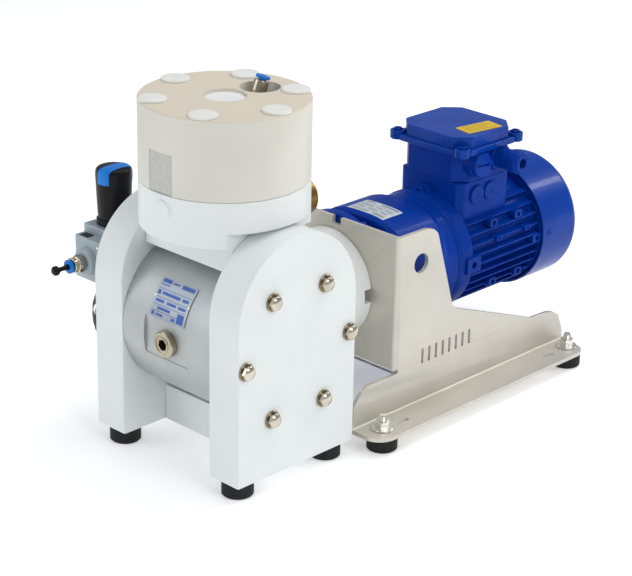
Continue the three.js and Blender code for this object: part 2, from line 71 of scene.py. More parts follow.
HOUSING_LOW, HOUSING_HIGH = in_pump(right_low), in_pump(right_high)
INNER_X, OUTER_X, HALF_W = HOUSING_LOW.x, HOUSING_HIGH.x, HOUSING_HIGH.y
ARCH_Z = HOUSING_HIGH.z - HALF_W
AXIS_Z = (in_pump(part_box("gearbox")[0]).z + in_pump(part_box("gearbox")[1]).z) / 2
BOLT_RING = 66.0
DRUM_R = 74.5
DAMPENER_R = in_pump(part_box("dampener_body")[1]).x
DAMPENER_LOW, DAMPENER_TOP = (in_pump(corner).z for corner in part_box("dampener_body"))
SHEET = 4.0
ORIGIN = (0, 0, 0)
AXIS = (0, 0, AXIS_Z)  # pump, gear and motor share one axis height
print("housings", round(INNER_X, 1), round(OUTER_X, 1), round(HALF_W, 1), "axis", round(AXIS_Z, 2),
      "dampener", round(DAMPENER_R, 2), round(DAMPENER_LOW, 1), round(DAMPENER_TOP, 1))

# %% [markdown]
# ## Outlines with eased corners
# Hardly any machined corner is perfectly sharp, and light shows it. `eased` takes the corners of an outline and
# puts a small arc at each one. A corner may bring its own radius as a third number. Arcs are made of short
# straight steps, because a mesh has no true curves.

# %% Corners to arcs
def eased(points, radius=1.0, steps=4, closed=True):
    outline = []
    for i, point in enumerate(points):
        here = Vector(point[:2])
        wanted = point[2] if len(point) > 2 else radius
        if wanted <= 0 or (not closed and i in (0, len(points) - 1)):
            outline.append(here)
            continue
        back = Vector(points[i - 1][:2]) - here
        on = Vector(points[(i + 1) % len(points)][:2]) - here
        angle = back.angle(on)
        if angle > math.radians(176):
            outline.append(here)
            continue
        reach = min(wanted / math.tan(angle / 2), back.length * 0.49, on.length * 0.49)
        centre = here + (back.normalized() + on.normalized()).normalized() * (reach / math.cos(angle / 2))
        start, end = here + back.normalized() * reach - centre, here + on.normalized() * reach - centre
        sweep = math.atan2(start.x * end.y - start.y * end.x, start.dot(end))
        for k in range(steps + 1):
            outline.append(centre + Matrix.Rotation(sweep * k / steps, 2) @ start)
    return outline


def arc_points(cx, cy, radius, start, end, steps):
    return [(cx + radius * math.cos(math.radians(start + (end - start) * k / steps)),
             cy + radius * math.sin(math.radians(start + (end - start) * k / steps))) for k in range(steps + 1)]


# %% [markdown]
# ## Two ways to make a solid
# A lathe turns a half outline round an axis: `turned` does that, ring by ring. A milled or sawn piece is an
# outline with a thickness: `slab` does that, and rounds both rims with a few inset rings. Between them they make
# nearly everything here, and both give closed meshes, which the cutting tools later need.

# %% Lathe and slab
ACROSS = {
    "x": (Vector((0, 1, 0)), Vector((0, 0, 1)), Vector((1, 0, 0))),
    "y": (Vector((1, 0, 0)), Vector((0, 0, 1)), Vector((0, 1, 0))),
    "z": (Vector((1, 0, 0)), Vector((0, 1, 0)), Vector((0, 0, 1))),
}


def directions(axis):
    if isinstance(axis, str):
        return ACROSS[axis]
    along = Vector(axis).normalized()
    side = along.cross(Vector((1, 0, 0))).normalized()
    return side, along.cross(side), along


def linked(name, bm):
    """A mesh object made from bm, which is freed, and put in the scene."""
    mesh = bpy.data.meshes.new(name)
    bm.to_mesh(mesh)
    bm.free()
    made = bpy.data.objects.new(name, mesh)
    bpy.context.scene.collection.objects.link(made)
    return made


def removed(obj):
    mesh = obj.data
    bpy.data.objects.remove(obj)
    bpy.data.meshes.remove(mesh)


def blank(bm):
    bmesh.ops.recalc_face_normals(bm, faces=bm.faces)
    return linked("blank", bm)


def turned(axis, centre, profile, sides=96, ease=0.0):
    """Profile points are (radius, distance along the axis). A closed ring profile never touches the axis."""
    u, v, w = directions(axis)
    ring_shaped = min(p[0] for p in profile) > 1e-6
    points = eased(profile, ease, 3, ring_shaped) if ease else [Vector(p[:2]) for p in profile]
    bm, rings = bmesh.new(), []
    for radius, along in points:
        middle = Vector(centre) + w * along
        if radius < 1e-6:
            rings.append([bm.verts.new(middle)])
            continue
        angles = [math.tau * k / sides for k in range(sides)]
        rings.append([bm.verts.new(middle + (u * math.cos(a) + v * math.sin(a)) * radius) for a in angles])
    pairs = list(zip(rings, rings[1:])) + ([(rings[-1], rings[0])] if ring_shaped else [])
    for a, b in pairs:
        for k in range(sides):
            n = (k + 1) % sides
            if len(a) > 1 and len(b) > 1:
                bm.faces.new((a[k], a[n], b[n], b[k]))
            elif len(a) > 1:
                bm.faces.new((a[k], a[n], b[0]))
            elif len(b) > 1:
                bm.faces.new((a[0], b[n], b[k]))
    return blank(bm)


def slab(axis, outline, low, high, edge=0.0, steps=3):
    u, v, w = directions(axis)
    flat = [Vector(p[:2]) for p in outline]
    area = sum(a.x * b.y - b.x * a.y for a, b in zip(flat, flat[1:] + flat[:1]))
    if area < 0:
        flat.reverse()
    inward = []
    for before, here, after in zip(flat[-1:] + flat[:-1], flat, flat[1:] + flat[:1]):
        e1, e2 = (here - before).normalized(), (after - here).normalized()
        n1, n2 = Vector((-e1.y, e1.x)), Vector((-e2.y, e2.x))
        mean = (n1 + n2).normalized()
        inward.append(mean / max(mean.dot(n1), 0.5))
    levels = [(0.0, low), (0.0, high)]
    if edge:
        turn = [math.pi / 2 * k / steps for k in range(steps + 1)]
        levels = [(edge * (1 - math.sin(t)), low + edge * (1 - math.cos(t))) for t in turn]
        levels += [(inset, low + high - h) for inset, h in reversed(levels)]
    bm, rings = bmesh.new(), []
    for inset, h in levels:
        rings.append([bm.verts.new(u * (p + n * inset).x + v * (p + n * inset).y + w * h)
                      for p, n in zip(flat, inward)])
    for a, b in zip(rings, rings[1:]):
        for k in range(len(a)):
            n = (k + 1) % len(a)
            bm.faces.new((a[k], a[n], b[n], b[k]))
    bm.faces.new(rings[0])
    bm.faces.new(rings[-1])
    return blank(bm)


def rod(axis, centre, radius, low, high, sides=48):
    return turned(axis, centre, [(0, low), (radius, low), (radius, high), (0, high)], sides)


def block(x0, x1, y0, y1, z0, z1, corner=0.0, edge=0.0):
    """A block whose corners seen from above are eased by corner, and whose top and bottom rims by edge."""
    outline = [(x0, y0), (x1, y0), (x1, y1), (x0, y1)]
    return slab("z", eased(outline, corner, 4) if corner else outline, z0, z1, edge)


# %% [markdown]
# ## Cutting, joining and finishing
# `machined` adds and cuts solids with Boolean modifiers, as a milling machine would. Modifiers are always turned
# into plain mesh first.

# %% Machining helpers
def baked(obj):
    """The object with its modifiers turned into plain mesh."""
    bpy.context.view_layer.update()
    graph = bpy.context.evaluated_depsgraph_get()
    mesh = bpy.data.meshes.new_from_object(obj.evaluated_get(graph))
    obj.modifiers.clear()
    old, obj.data = obj.data, mesh
    bpy.data.meshes.remove(old)
    return obj


def machined(base, adds=(), cuts=(), keeps=()):
    tools = [(t, "UNION") for t in adds] + [(t, "INTERSECT") for t in keeps] + [(t, "DIFFERENCE") for t in cuts]
    for tool, operation in tools:
        step = base.modifiers.new(operation.lower(), "BOOLEAN")
        step.operation, step.solver, step.object = operation, "MANIFOLD", tool
    baked(base)
    for tool, _ in tools:
        removed(tool)
    return base


def merged(name, objects):
    """Several separate solids as one mesh. Each one stays closed."""
    bm = bmesh.new()
    for obj in objects:
        bm.from_mesh(obj.data)
        removed(obj)
    return linked(name, bm)


shown = []


WELD = 0.004         # mm, closer points than this are one
SHARP_ANGLE = 50     # degrees, a steeper edge stays a hard line


def show(obj, name, look, body, nodes=(), bevel=0.0, limit=38):
    """Finish a piece and hand it over. The bevel is in mm, on edges steeper than limit degrees."""
    if bevel:
        tidy = bmesh.new()
        tidy.from_mesh(obj.data)
        bmesh.ops.remove_doubles(tidy, verts=tidy.verts, dist=WELD)
        bmesh.ops.dissolve_degenerate(tidy, edges=tidy.edges, dist=WELD)
        tidy.to_mesh(obj.data)
        tidy.free()
        soft = obj.modifiers.new("broken_edges", "BEVEL")
        soft.width, soft.segments, soft.limit_method = bevel, 2, "ANGLE"
        soft.angle_limit, soft.use_clamp_overlap = math.radians(limit), True
        baked(obj)
    for face in obj.data.polygons:
        face.use_smooth = True
    obj.data.set_sharp_from_angle(angle=math.radians(SHARP_ANGLE))
    even = obj.modifiers.new("even_normals", "WEIGHTED_NORMAL")
    even.keep_sharp, even.weight = True, 60
    baked(obj)
    obj.data.transform(TO_ROW)
    obj.name = obj.data.name = name
    if obj.data.materials:
        obj.data.materials[0] = look
    else:
        obj.data.materials.append(look)
    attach(obj, body)
    if nodes:
        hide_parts(*nodes)
    shown.append(obj)
    print(name, len(obj.data.polygons), "faces on", body)
    return obj

# %% [markdown]
# ## Finishes: one recipe, many settings
# A believable finish is never one flat colour. This recipe mixes two close colours with a broad noise, makes the
# roughness wander a little, and adds a fine bump for the grain of the surface. All of it is placed by Object
# coordinates, which are metres in the frame, so a scale of 1000 gives marks about a millimetre wide. Stretching
# the coordinates turns grain into brushed or sawn lines.

# %% The surface recipe
def tone(r, g, b):
    """A colour given as the usual 0 to 255 numbers, turned into the linear ones that shaders use."""
    return tuple(((c / 255 + 0.055) / 1.055) ** 2.4 if c > 10 else c / 255 / 12.92 for c in (r, g, b)) + (1.0,)


def node(tree, kind, inputs=None, **settings):
    made = tree.nodes.new(kind)
    for key, value in settings.items():
        setattr(made, key, value)
    for key, value in (inputs or {}).items():
        if isinstance(value, bpy.types.NodeSocket):
            tree.links.new(value, made.inputs[key])
        else:
            made.inputs[key].default_value = value
    return made


def maths(tree, operation, *values):
    return node(tree, "ShaderNodeMath", dict(enumerate(values)), operation=operation).outputs[0]


def remapped(tree, value, low, high, to_low=0.0, to_high=1.0):
    """The value, with low..high turned into to_low..to_high and held there outside."""
    return node(tree, "ShaderNodeMapRange", {"Value": value, "From Min": low, "From Max": high, "To Min": to_low,
                                             "To Max": to_high}).outputs[0]


def object_axes(tree):
    return node(tree, "ShaderNodeSeparateXYZ", {0: node(tree, "ShaderNodeTexCoord").outputs["Object"]}).outputs


def blend_colours(tree, factor, first, second):
    mix = node(tree, "ShaderNodeMix", data_type="RGBA", blend_type="MIX")
    for key, value in (("Factor_Float", factor), ("A_Color", first), ("B_Color", second)):
        socket = next(s for s in mix.inputs if s.identifier == key)
        if isinstance(value, bpy.types.NodeSocket):
            tree.links.new(value, socket)
        else:
            socket.default_value = value
    return next(s for s in mix.outputs if s.identifier == "Result_Color")


def object_coords(tree, stretch=(1, 1, 1), centre=None, axis=None):
    """Object coordinates, or with an axis, turned ones: (radius, distance round the circle, distance along)."""
    coords = node(tree, "ShaderNodeTexCoord").outputs["Object"]
    if axis:
        place = TO_ROW @ Vector(centre)
        moved = node(tree, "ShaderNodeVectorMath", {0: coords, 1: place}, operation="SUBTRACT").outputs[0]
        parts = node(tree, "ShaderNodeSeparateXYZ", {0: moved}).outputs
        order = {"x": (1, 2, 0), "y": (0, 2, 1), "z": (0, 1, 2)}[axis]
        a, b, along = (parts[i] for i in order)
        flat = node(tree, "ShaderNodeCombineXYZ", {0: a, 1: b}).outputs[0]
        radius = node(tree, "ShaderNodeVectorMath", {0: flat}, operation="LENGTH").outputs["Value"]
        angle = maths(tree, "ARCTAN2", b, a)
        coords = node(tree, "ShaderNodeCombineXYZ", {0: radius, 1: angle, 2: along}).outputs[0]
    return node(tree, "ShaderNodeMapping", {0: coords, 3: stretch}).outputs[0]


def new_look(name):
    look = bpy.data.materials.new(name)
    look.use_nodes = True
    look.node_tree.nodes.clear()
    out = look.node_tree.nodes.new("ShaderNodeOutputMaterial")
    shader = look.node_tree.nodes.new("ShaderNodeBsdfPrincipled")
    look.node_tree.links.new(shader.outputs[0], out.inputs[0])
    return look, look.node_tree, shader


def surface(name, main, other, rough=(0.4, 0.5), metal=0.0, patch=18.0, grain=1500.0, depth=0.00003, strength=0.5,
            stretch=(1, 1, 1), centre=None, axis=None, coat=0.0, coat_rough=0.1, specular=0.5):
    """Main and other are the two colours. Patch and grain are noise scales per metre, and depth is in metres."""
    look, tree, shader = new_look(name)
    plain = object_coords(tree)
    lined = object_coords(tree, stretch, centre, axis)
    broad = node(tree, "ShaderNodeTexNoise", {"Vector": plain, "Scale": patch, "Detail": 3.0}).outputs["Fac"]
    fine = node(tree, "ShaderNodeTexNoise", {"Vector": lined, "Scale": grain, "Detail": 4.0,
                                             "Roughness": 0.6}).outputs["Fac"]
    both = maths(tree, "MULTIPLY_ADD", fine, 0.45, broad)
    share = remapped(tree, both, 0.45, 1.0)
    colour = blend_colours(tree, share, tone(*main), tone(*other))
    tree.links.new(colour, shader.inputs["Base Color"])
    worn = remapped(tree, both, 0.4, 1.05, *rough)
    tree.links.new(worn, shader.inputs["Roughness"])
    relief = node(tree, "ShaderNodeBump", {"Strength": strength, "Distance": depth, "Height": fine}).outputs[0]
    tree.links.new(relief, shader.inputs["Normal"])
    shader.inputs["Metallic"].default_value = metal
    shader.inputs["IOR"].default_value = 1.5
    shader.inputs["Specular IOR Level"].default_value = specular
    shader.inputs["Coat Weight"].default_value = coat
    shader.inputs["Coat Roughness"].default_value = coat_rough
    return look, tree, shader, colour


# %% [markdown]
# ## The finishes themselves
# The white housings are sawn and milled polyethylene: nearly matt, slightly cool, with very faint cutter lines.
# The dampener is an older, creamier batch of the same plastic, turned on a lathe, so its grain runs in rings. The
# drum is turned metal, the bracket is bead-blasted stainless sheet, and the motor wears thick gloss enamel over a
# rough casting, so its bump is coarse but its gloss is high.

# %% Plastics
white_plastic = surface("milled_white_plastic", (233, 237, 236), (225, 230, 230), (0.42, 0.56), patch=9, grain=420,
                        depth=0.00005, strength=0.35, stretch=(1, 1, 0.12), specular=0.4)[0]
white_turned = surface("turned_white_plastic", (234, 237, 236), (226, 230, 229), (0.4, 0.54), patch=9, grain=1500,
                       depth=0.00004, strength=0.4, stretch=(1, 0.004, 1), centre=ORIGIN, axis="z", specular=0.4)[0]
ring_plastic = surface("turned_ring_plastic", (232, 233, 231), (222, 224, 222), (0.42, 0.55), patch=12, grain=1500,
                       depth=0.00004, strength=0.4, stretch=(1, 0.004, 1), centre=AXIS, axis="y", specular=0.4)[0]
cap_plastic = surface("moulded_cap_plastic", (238, 238, 233), (229, 229, 224), (0.35, 0.48), patch=60, grain=2400,
                      depth=0.00002)[0]
insert_plastic = surface("insert_plastic", (240, 241, 240), (230, 232, 231), (0.3, 0.42), patch=50, grain=2200,
                         depth=0.00002)[0]
ball_plastic = surface("valve_ball_plastic", (236, 233, 222), (226, 222, 210), (0.25, 0.35), patch=80, grain=2600,
                       depth=0.00001)[0]
diaphragm_plastic = surface("diaphragm_plastic", (238, 238, 236), (224, 224, 222), (0.4, 0.55), patch=30, grain=1500,
                            depth=0.00004, stretch=(1, 0.01, 1), centre=AXIS, axis="x")[0]
black_plastic = surface("grained_black_plastic", (10, 8, 11), (18, 16, 20), (0.3, 0.44), patch=60, grain=3200,
                        depth=0.00004, strength=0.5, specular=0.2)[0]
blue_plastic = surface("push_ring_blue_plastic", (6, 116, 212), (14, 128, 222), (0.26, 0.38), patch=120, grain=3000,
                       depth=0.00002, specular=0.3)[0]
rubber = surface("foot_rubber", (22, 22, 23), (34, 34, 35), (0.62, 0.8), patch=50, grain=1800, depth=0.0001,
                 strength=0.6, specular=0.3)[0]

# %% Metals and paints
drum_metal = surface("turned_drum_metal", (190, 193, 193), (174, 178, 179), (0.42, 0.54), metal=0.75, patch=22,
                     grain=2600,
                     depth=0.00003, strength=0.5, stretch=(1, 0.002, 1), centre=AXIS, axis="x")[0]
sheet_metal = surface("bead_blasted_sheet", (216, 212, 203), (202, 198, 188), (0.4, 0.52), metal=0.5, patch=16,
                      grain=2300, depth=0.00005, strength=0.5, specular=0.4)[0]
bright_steel = surface("bright_steel", (244, 243, 238), (226, 224, 217), (0.16, 0.28), metal=1.0, patch=90,
                       grain=2600,
                       depth=0.00002, stretch=(1, 1, 0.2))[0]
warm_steel = surface("warm_steel", (196, 186, 168), (162, 151, 132), (0.18, 0.32), metal=1.0, patch=90, grain=2600,
                     depth=0.00002, stretch=(1, 1, 0.2))[0]
dark_steel = surface("ground_steel", (170, 168, 164), (140, 138, 134), (0.2, 0.34), metal=1.0, patch=60, grain=2200,
                     depth=0.00002)[0]
brass = surface("machined_brass", (160, 128, 66), (132, 102, 50), (0.24, 0.4), metal=1.0, patch=50, grain=2000,
                depth=0.00003, stretch=(1, 0.003, 1), centre=(0, 0, 214), axis="y")[0]
blue_enamel = surface("gloss_blue_enamel", (2, 58, 160), (1, 48, 140), (0.34, 0.46), patch=26, grain=420,
                      depth=0.00022,
                      strength=0.5, coat=0.05, coat_rough=0.12, specular=0.06)[0]
smooth_enamel = surface("smooth_blue_enamel", (4, 64, 164), (2, 54, 146), (0.24, 0.34), patch=20, grain=240,
                        depth=0.0001, strength=0.35, coat=0.14, coat_rough=0.08, specular=0.1)[0]
cast_grey = surface("cast_zinc_paint", (176, 188, 194), (160, 172, 178), (0.45, 0.58), metal=0.2, patch=60,
                    grain=1200,
                    depth=0.00008, strength=0.45)[0]
plate_silver = surface("printed_plate_silver", (172, 179, 186), (156, 164, 173), (0.3, 0.38), metal=0.5, patch=60,
                       grain=2600, depth=0.00001, stretch=(0.02, 1, 1))[0]
plate_blue = surface("plate_blue_ink", (50, 86, 170), (62, 98, 180), (0.35, 0.45), metal=0.1, patch=200, grain=3000,
                     depth=0.00001)[0]
label_silver = surface("motor_label_silver", (216, 221, 227), (202, 208, 215), (0.34, 0.44), metal=0.15, patch=60,
                       grain=2600, depth=0.00001)[0]
label_grey = surface("motor_label_print", (120, 128, 140), (140, 147, 158), (0.4, 0.5), patch=200, grain=3000,
                     depth=0.00001)[0]
label_yellow = surface("yellow_label", (226, 190, 30), (212, 174, 24), (0.4, 0.5), patch=120, grain=2600,
                       depth=0.00002)[0]
label_dark = surface("yellow_label_print", (110, 96, 40), (128, 110, 48), (0.4, 0.5), patch=200, grain=2600,
                     depth=0.00001)[0]

# %% [markdown]
# ## A finish that changes with height
# The dampener's side is a pale grey-cream with rings from the lathe, its top is warmer and sawn, and the rim
# between them is nearly yellow. Height decides which: a colour ramp on the Z coordinate does it. The flat milled
# into its side is duller, because the cutter left it matt.

# %% Dampener plastic
dampener_plastic, tree, shader, side_colour = surface(
    "natural_dampener_plastic", (224, 222, 213), (214, 211, 201), (0.45, 0.58), patch=12, grain=1300, depth=0.00005,
    strength=0.45, stretch=(1, 0.003, 1), centre=ORIGIN, axis="z", specular=0.35)
height = object_axes(tree)[2]
top_z = (TO_ROW @ Vector((0, 0, DAMPENER_TOP))).z
near_top = remapped(tree, height, top_z - 0.0022, top_z - 0.0002)
rim = node(tree, "ShaderNodeValToRGB", {"Fac": near_top})
rim.color_ramp.elements[0].color = (0, 0, 0, 1)
rim.color_ramp.elements[1].color = (1, 1, 1, 1)
fibres = node(tree, "ShaderNodeTexNoise", {"Vector": object_coords(tree, (1, 0.08, 1)), "Scale": 220.0,
                                           "Detail": 5.0}).outputs["Fac"]
warm = blend_colours(tree, fibres, tone(214, 204, 185), tone(223, 213, 196))
tree.links.new(blend_colours(tree, rim.outputs["Color"], side_colour, warm), shader.inputs["Base Color"])
milled_flat = surface("milled_flat_plastic", (204, 205, 198), (188, 189, 182), (0.6, 0.75), patch=300, grain=900,
                      depth=0.00012,
                      strength=0.7, specular=0.2)[0]

# %% [markdown]
# ## Bolt steel
# Each bolt head stands on a washer, and the shadow that the nut casts on its washer is painted. Washer and nut are
# one mesh, so the finish tells them apart by distance from the middle of the pump: below the nut's seat the steel is
# painted darker and browner as shadow.

# %% Bolt steel
bolt_steel, tree, shader, nut_colour = surface("bolt_steel", (214, 207, 192), (186, 178, 162), (0.16, 0.28),
                                               metal=1.0, patch=90,
                                               grain=2600, depth=0.00002)
middle = (TO_ROW @ Vector(ORIGIN)).x
from_middle = maths(tree, "ABSOLUTE", maths(tree, "SUBTRACT", object_axes(tree)[0], middle))
seat_x = (TO_ROW @ Vector((OUTER_X + 2.2, 0, 0))).x - middle
outside_washer_shadow = remapped(tree, from_middle, seat_x - 0.0001, seat_x + 0.0001)
# painted shadow: the washer under each nut gets a darker brown steel colour
tree.links.new(blend_colours(tree, outside_washer_shadow, tone(142, 128, 104), nut_colour), shader.inputs["Base Color"])
print("finishes", len(bpy.data.materials))

# %% [markdown]
# ## Repeating pieces with Geometry Nodes
# Bolts, caps, feet and slots repeat by a rule, so a node tree places them: points on a circle, a line or a grid,
# one copy of a piece on each point, then Realize Instances and Set Material. The tree's sizes are named inputs, so
# one tree serves many pieces. The result is turned into a plain mesh before anything else touches it.

# %% Node trees for rings, rows and grids
def tree_with(name, inputs):
    tree = bpy.data.node_groups.new(name, "GeometryNodeTree")
    for label, kind, default in inputs:
        socket = tree.interface.new_socket(label, in_out="INPUT", socket_type=kind)
        if default is not None:
            socket.default_value = default
    tree.interface.new_socket("Geometry", in_out="OUTPUT", socket_type="NodeSocketGeometry")
    start, end = tree.nodes.new("NodeGroupInput"), tree.nodes.new("NodeGroupOutput")
    return tree, start.outputs, end


def finish_tree(tree, given, end, points, turn=None, scale=None, selection=None):
    """The tail that every tree shares: copies on points, real mesh, finish."""
    piece = node(tree, "GeometryNodeObjectInfo", {"Object": given["Piece"]}).outputs["Geometry"]
    copies = node(tree, "GeometryNodeInstanceOnPoints", {"Points": points, "Instance": piece})
    for key, value in (("Rotation", turn), ("Scale", scale), ("Selection", selection)):
        if value is not None:
            tree.links.new(value, copies.inputs[key])
    real = node(tree, "GeometryNodeRealizeInstances", {"Geometry": copies.outputs[0]}).outputs[0]
    dressed = node(tree, "GeometryNodeSetMaterial", {"Geometry": real, "Material": given["Finish"]}).outputs[0]
    tree.links.new(dressed, end.inputs[0])
    return tree


def less_than(tree, value, limit):
    return node(tree, "FunctionNodeCompare", {0: value, 1: limit}, data_type="FLOAT",
                operation="LESS_THAN").outputs[0]


COMMON = [("Piece", "NodeSocketObject", None), ("Finish", "NodeSocketMaterial", None)]


def ring_tree():
    """Copies round the Z axis. Of the places counted from 0, the multiples of Keep every stay, and the multiples of
    Leave every go, unless that number is 500 or more."""
    tree, given, end = tree_with("ring_of_pieces", COMMON + [
        ("Count", "NodeSocketInt", 6), ("Radius", "NodeSocketFloat", 10.0), ("Start angle", "NodeSocketFloat", 0.0),
        ("Face outward", "NodeSocketFloat", 1.0), ("Keep every", "NodeSocketInt", 1),
                                                             ("Leave every", "NodeSocketInt", 1000)])
    line = node(tree, "GeometryNodeMeshLine", {"Count": given["Count"], "Offset": (0.0, 0.0, 0.0)}).outputs[0]
    index = node(tree, "GeometryNodeInputIndex").outputs[0]
    step = maths(tree, "DIVIDE", math.tau, given["Count"])
    angle = maths(tree, "MULTIPLY_ADD", index, step, given["Start angle"])
    x = maths(tree, "MULTIPLY", maths(tree, "COSINE", angle), given["Radius"])
    y = maths(tree, "MULTIPLY", maths(tree, "SINE", angle), given["Radius"])
    spot = node(tree, "ShaderNodeCombineXYZ", {0: x, 1: y}).outputs[0]
    points = node(tree, "GeometryNodeSetPosition", {"Geometry": line, "Position": spot}).outputs[0]
    spin = maths(tree, "MULTIPLY", angle, given["Face outward"])
    turn = node(tree, "ShaderNodeCombineXYZ", {2: spin}).outputs[0]
    kept = maths(tree, "MODULO", index, given["Keep every"])
    on = less_than(tree, kept, 0.5)
    left = maths(tree, "MODULO", index, given["Leave every"])
    gone = less_than(tree, left, 0.5)
    far = less_than(tree, given["Leave every"], 500.0)
    drop = node(tree, "FunctionNodeBooleanMath", {0: gone, 1: far}, operation="AND").outputs[0]
    stay = node(tree, "FunctionNodeBooleanMath", {0: drop}, operation="NOT").outputs[0]
    keep = node(tree, "FunctionNodeBooleanMath", {0: on, 1: stay}, operation="AND").outputs[0]
    return finish_tree(tree, given, end, points, turn, None, keep)


def grid_tree():
    """Copies at the corners and crossings of a grid lying in XY, centred on the origin."""
    tree, given, end = tree_with("grid_of_pieces", COMMON + [
        ("Width", "NodeSocketFloat", 10.0), ("Length", "NodeSocketFloat", 10.0), ("Across", "NodeSocketInt", 2),
        ("Along", "NodeSocketInt", 2)])
    grid = node(tree, "GeometryNodeMeshGrid", {"Size X": given["Width"], "Size Y": given["Length"],
                                               "Vertices X": given["Across"],
                                               "Vertices Y": given["Along"]}).outputs[0]
    return finish_tree(tree, given, end, grid)


def chord_tree():
    """A row of bars across a circle: each bar, one unit long in X, is stretched to the circle's width there."""
    tree, given, end = tree_with("row_of_chords", COMMON + [
        ("Count", "NodeSocketInt", 9), ("Pitch", "NodeSocketFloat", 9.0), ("Radius", "NodeSocketFloat", 60.0),
        ("Share", "NodeSocketFloat", 1.0)])
    line = node(tree, "GeometryNodeMeshLine", {"Count": given["Count"], "Offset": (0.0, 0.0, 0.0)}).outputs[0]
    index = node(tree, "GeometryNodeInputIndex").outputs[0]
    last = maths(tree, "SUBTRACT", given["Count"], 1.0)
    middle = maths(tree, "MULTIPLY", last, 0.5)
    place = maths(tree, "SUBTRACT", index, middle)
    z = maths(tree, "MULTIPLY", place, given["Pitch"])
    spot = node(tree, "ShaderNodeCombineXYZ", {2: z}).outputs[0]
    points = node(tree, "GeometryNodeSetPosition", {"Geometry": line, "Position": spot}).outputs[0]
    zz = maths(tree, "MULTIPLY", z, z)
    rr = maths(tree, "MULTIPLY", given["Radius"], given["Radius"])
    rest = maths(tree, "SUBTRACT", rr, zz)
    half = maths(tree, "SQRT", rest)
    length = maths(tree, "MULTIPLY", half, given["Share"])
    scale = node(tree, "ShaderNodeCombineXYZ", {0: length, 1: 1.0, 2: 1.0}).outputs[0]
    return finish_tree(tree, given, end, points, None, scale)


RING, GRID, CHORDS = ring_tree(), grid_tree(), chord_tree()


def repeated(tree, piece, finish, matrix, **sizes):
    """Runs a tree on one piece and gives the plain mesh, placed by matrix. The single piece is removed."""
    carrier = bpy.data.objects.new("carrier", bpy.data.meshes.new("carrier"))
    bpy.context.scene.collection.objects.link(carrier)
    step = carrier.modifiers.new("repeat", "NODES")
    step.node_group = tree
    wanted = {"Piece": piece, "Finish": finish}
    wanted.update({key.replace("_", " "): value for key, value in sizes.items()})
    for item in tree.interface.items_tree:
        if item.in_out == "INPUT" and item.name in wanted:
            step[item.identifier] = wanted[item.name]
    baked(carrier)
    carrier.data.transform(matrix)
    removed(piece)
    return carrier


ALONG_X = Matrix(((0, 0, 1, 0), (1, 0, 0, 0), (0, 1, 0, 0), (0, 0, 0, 1)))
ALONG_Y = Matrix(((1, 0, 0, 0), (0, 0, -1, 0), (0, 1, 0, 0), (0, 0, 0, 1)))
INTO_Y = ALONG_Y.inverted()


def at(x, y, z):
    return Matrix.Translation((x, y, z))


print("node trees", len(bpy.data.node_groups))

# %% [markdown]
# ## Pump housings
# Each housing is one thick plate of white polyethylene, sawn to an arch and drilled from every side: a wide
# chamber for the diaphragm, two valve bores for the balls, cross channels, and six bolt holes. It is a slab with
# rounded rims, cut like the real one, so nothing inside touches the moving parts.

# %% The two housings
hexagon = [math.radians(a) for a in range(0, 360, 60)]
bolt_spots = [(BOLT_RING * math.cos(a), AXIS_Z + BOLT_RING * math.sin(a)) for a in hexagon]
housing_outline = [(-HALF_W, 2.2), (-HALF_W + 0.65, 0.65), (-HALF_W + 2.2, 0), (HALF_W - 2.2, 0),
                   (HALF_W - 0.65, 0.65),
                   (HALF_W, 2.2)] + arc_points(0, ARCH_Z, HALF_W, 0, 180, 72)
VALVE_X = 78.0
for name, side in (("right_housing", 1), ("left_housing", -1)):
    near, far = sorted((side * INNER_X, side * OUTER_X))
    plate = slab("x", housing_outline, near, far, 1.3, 4)
    inner = side * (INNER_X - 1)
    cuts = [rod("x", AXIS, 48, *sorted((inner, side * 75)), 96)]
    cuts += [rod("x", (0, y, z), 4.5, -120, 120, 24) for y, z in bolt_spots]
    for radius, low, high in ((7, 14, 36), (10.5, 34, 74), (7, 154, 178), (10.5, 176, 207)):
        cuts.append(rod("z", (side * VALVE_X, 0, 0), radius, low, high, 40))
    cuts += [rod("x", (0, 0, z), 7, *sorted((inner, side * VALVE_X)), 32) for z in (21, 202)]
    show(machined(plate, cuts=cuts), name, white_plastic, "frame", [name])

# %% [markdown]
# ## Metal drum and inlet block
# The drum between the housings is turned metal with a bore for the diaphragm shaft and a square pad milled flat
# round the drain plug. Its lathe profile keeps a small chamfer at each end. The inlet block under it is a plain
# white bar, bored through so that liquid reaches both housings.

# %% Drum and inlet block
end = INNER_X - 0.3
drum = turned("x", AXIS, [(0, -end), (DRUM_R, -end, 0.8), (DRUM_R, end, 0.8), (0, end)], 180, 0.8)
cuts = [rod("x", AXIS, 12.5, -80, 80), rod("x", AXIS, 48, -80, -46, 96),
        rod("x", AXIS, 48, 46, 80, 96), rod("y", AXIS, 19.5, 13, 90, 64),
        slab("y", eased([(-29, 96), (29, 96), (29, 133.5), (-29, 133.5)], 1.6), -90, -71.5),
        block(-13.5, 13.5, -30, 30, 179, 200), rod("y", (0, 0, AXIS_Z - 2), 11.3, -90, -66, 64),
        rod("y", (0, 0, AXIS_Z - 2), 8.4, -90, -58, 64)]
for i, (y, z) in enumerate(bolt_spots):
    spans = [(-120, -29), (29, 120)] if i % 3 == 0 else [(-120, 120)]
    cuts += [rod("x", (0, y, z), 4.5, low, high, 24) for low, high in spans]
show(machined(drum, cuts=cuts), "centre_drum", drum_metal, "frame", ["centre_block"], bevel=0.3)

inlet = slab("x", eased([(-22.3, 0), (22.3, 0), (22.3, 36.5), (-22.3, 36.5)], 1.0), -end, end, 0.8)
inlet = machined(inlet, cuts=[rod("x", (0, 0, 21), 7, -80, 80), rod("y", (0, 0, 21), 10.5, 0, 40)])
show(inlet, "inlet_bar", white_plastic, "frame", ["inlet_manifold"])

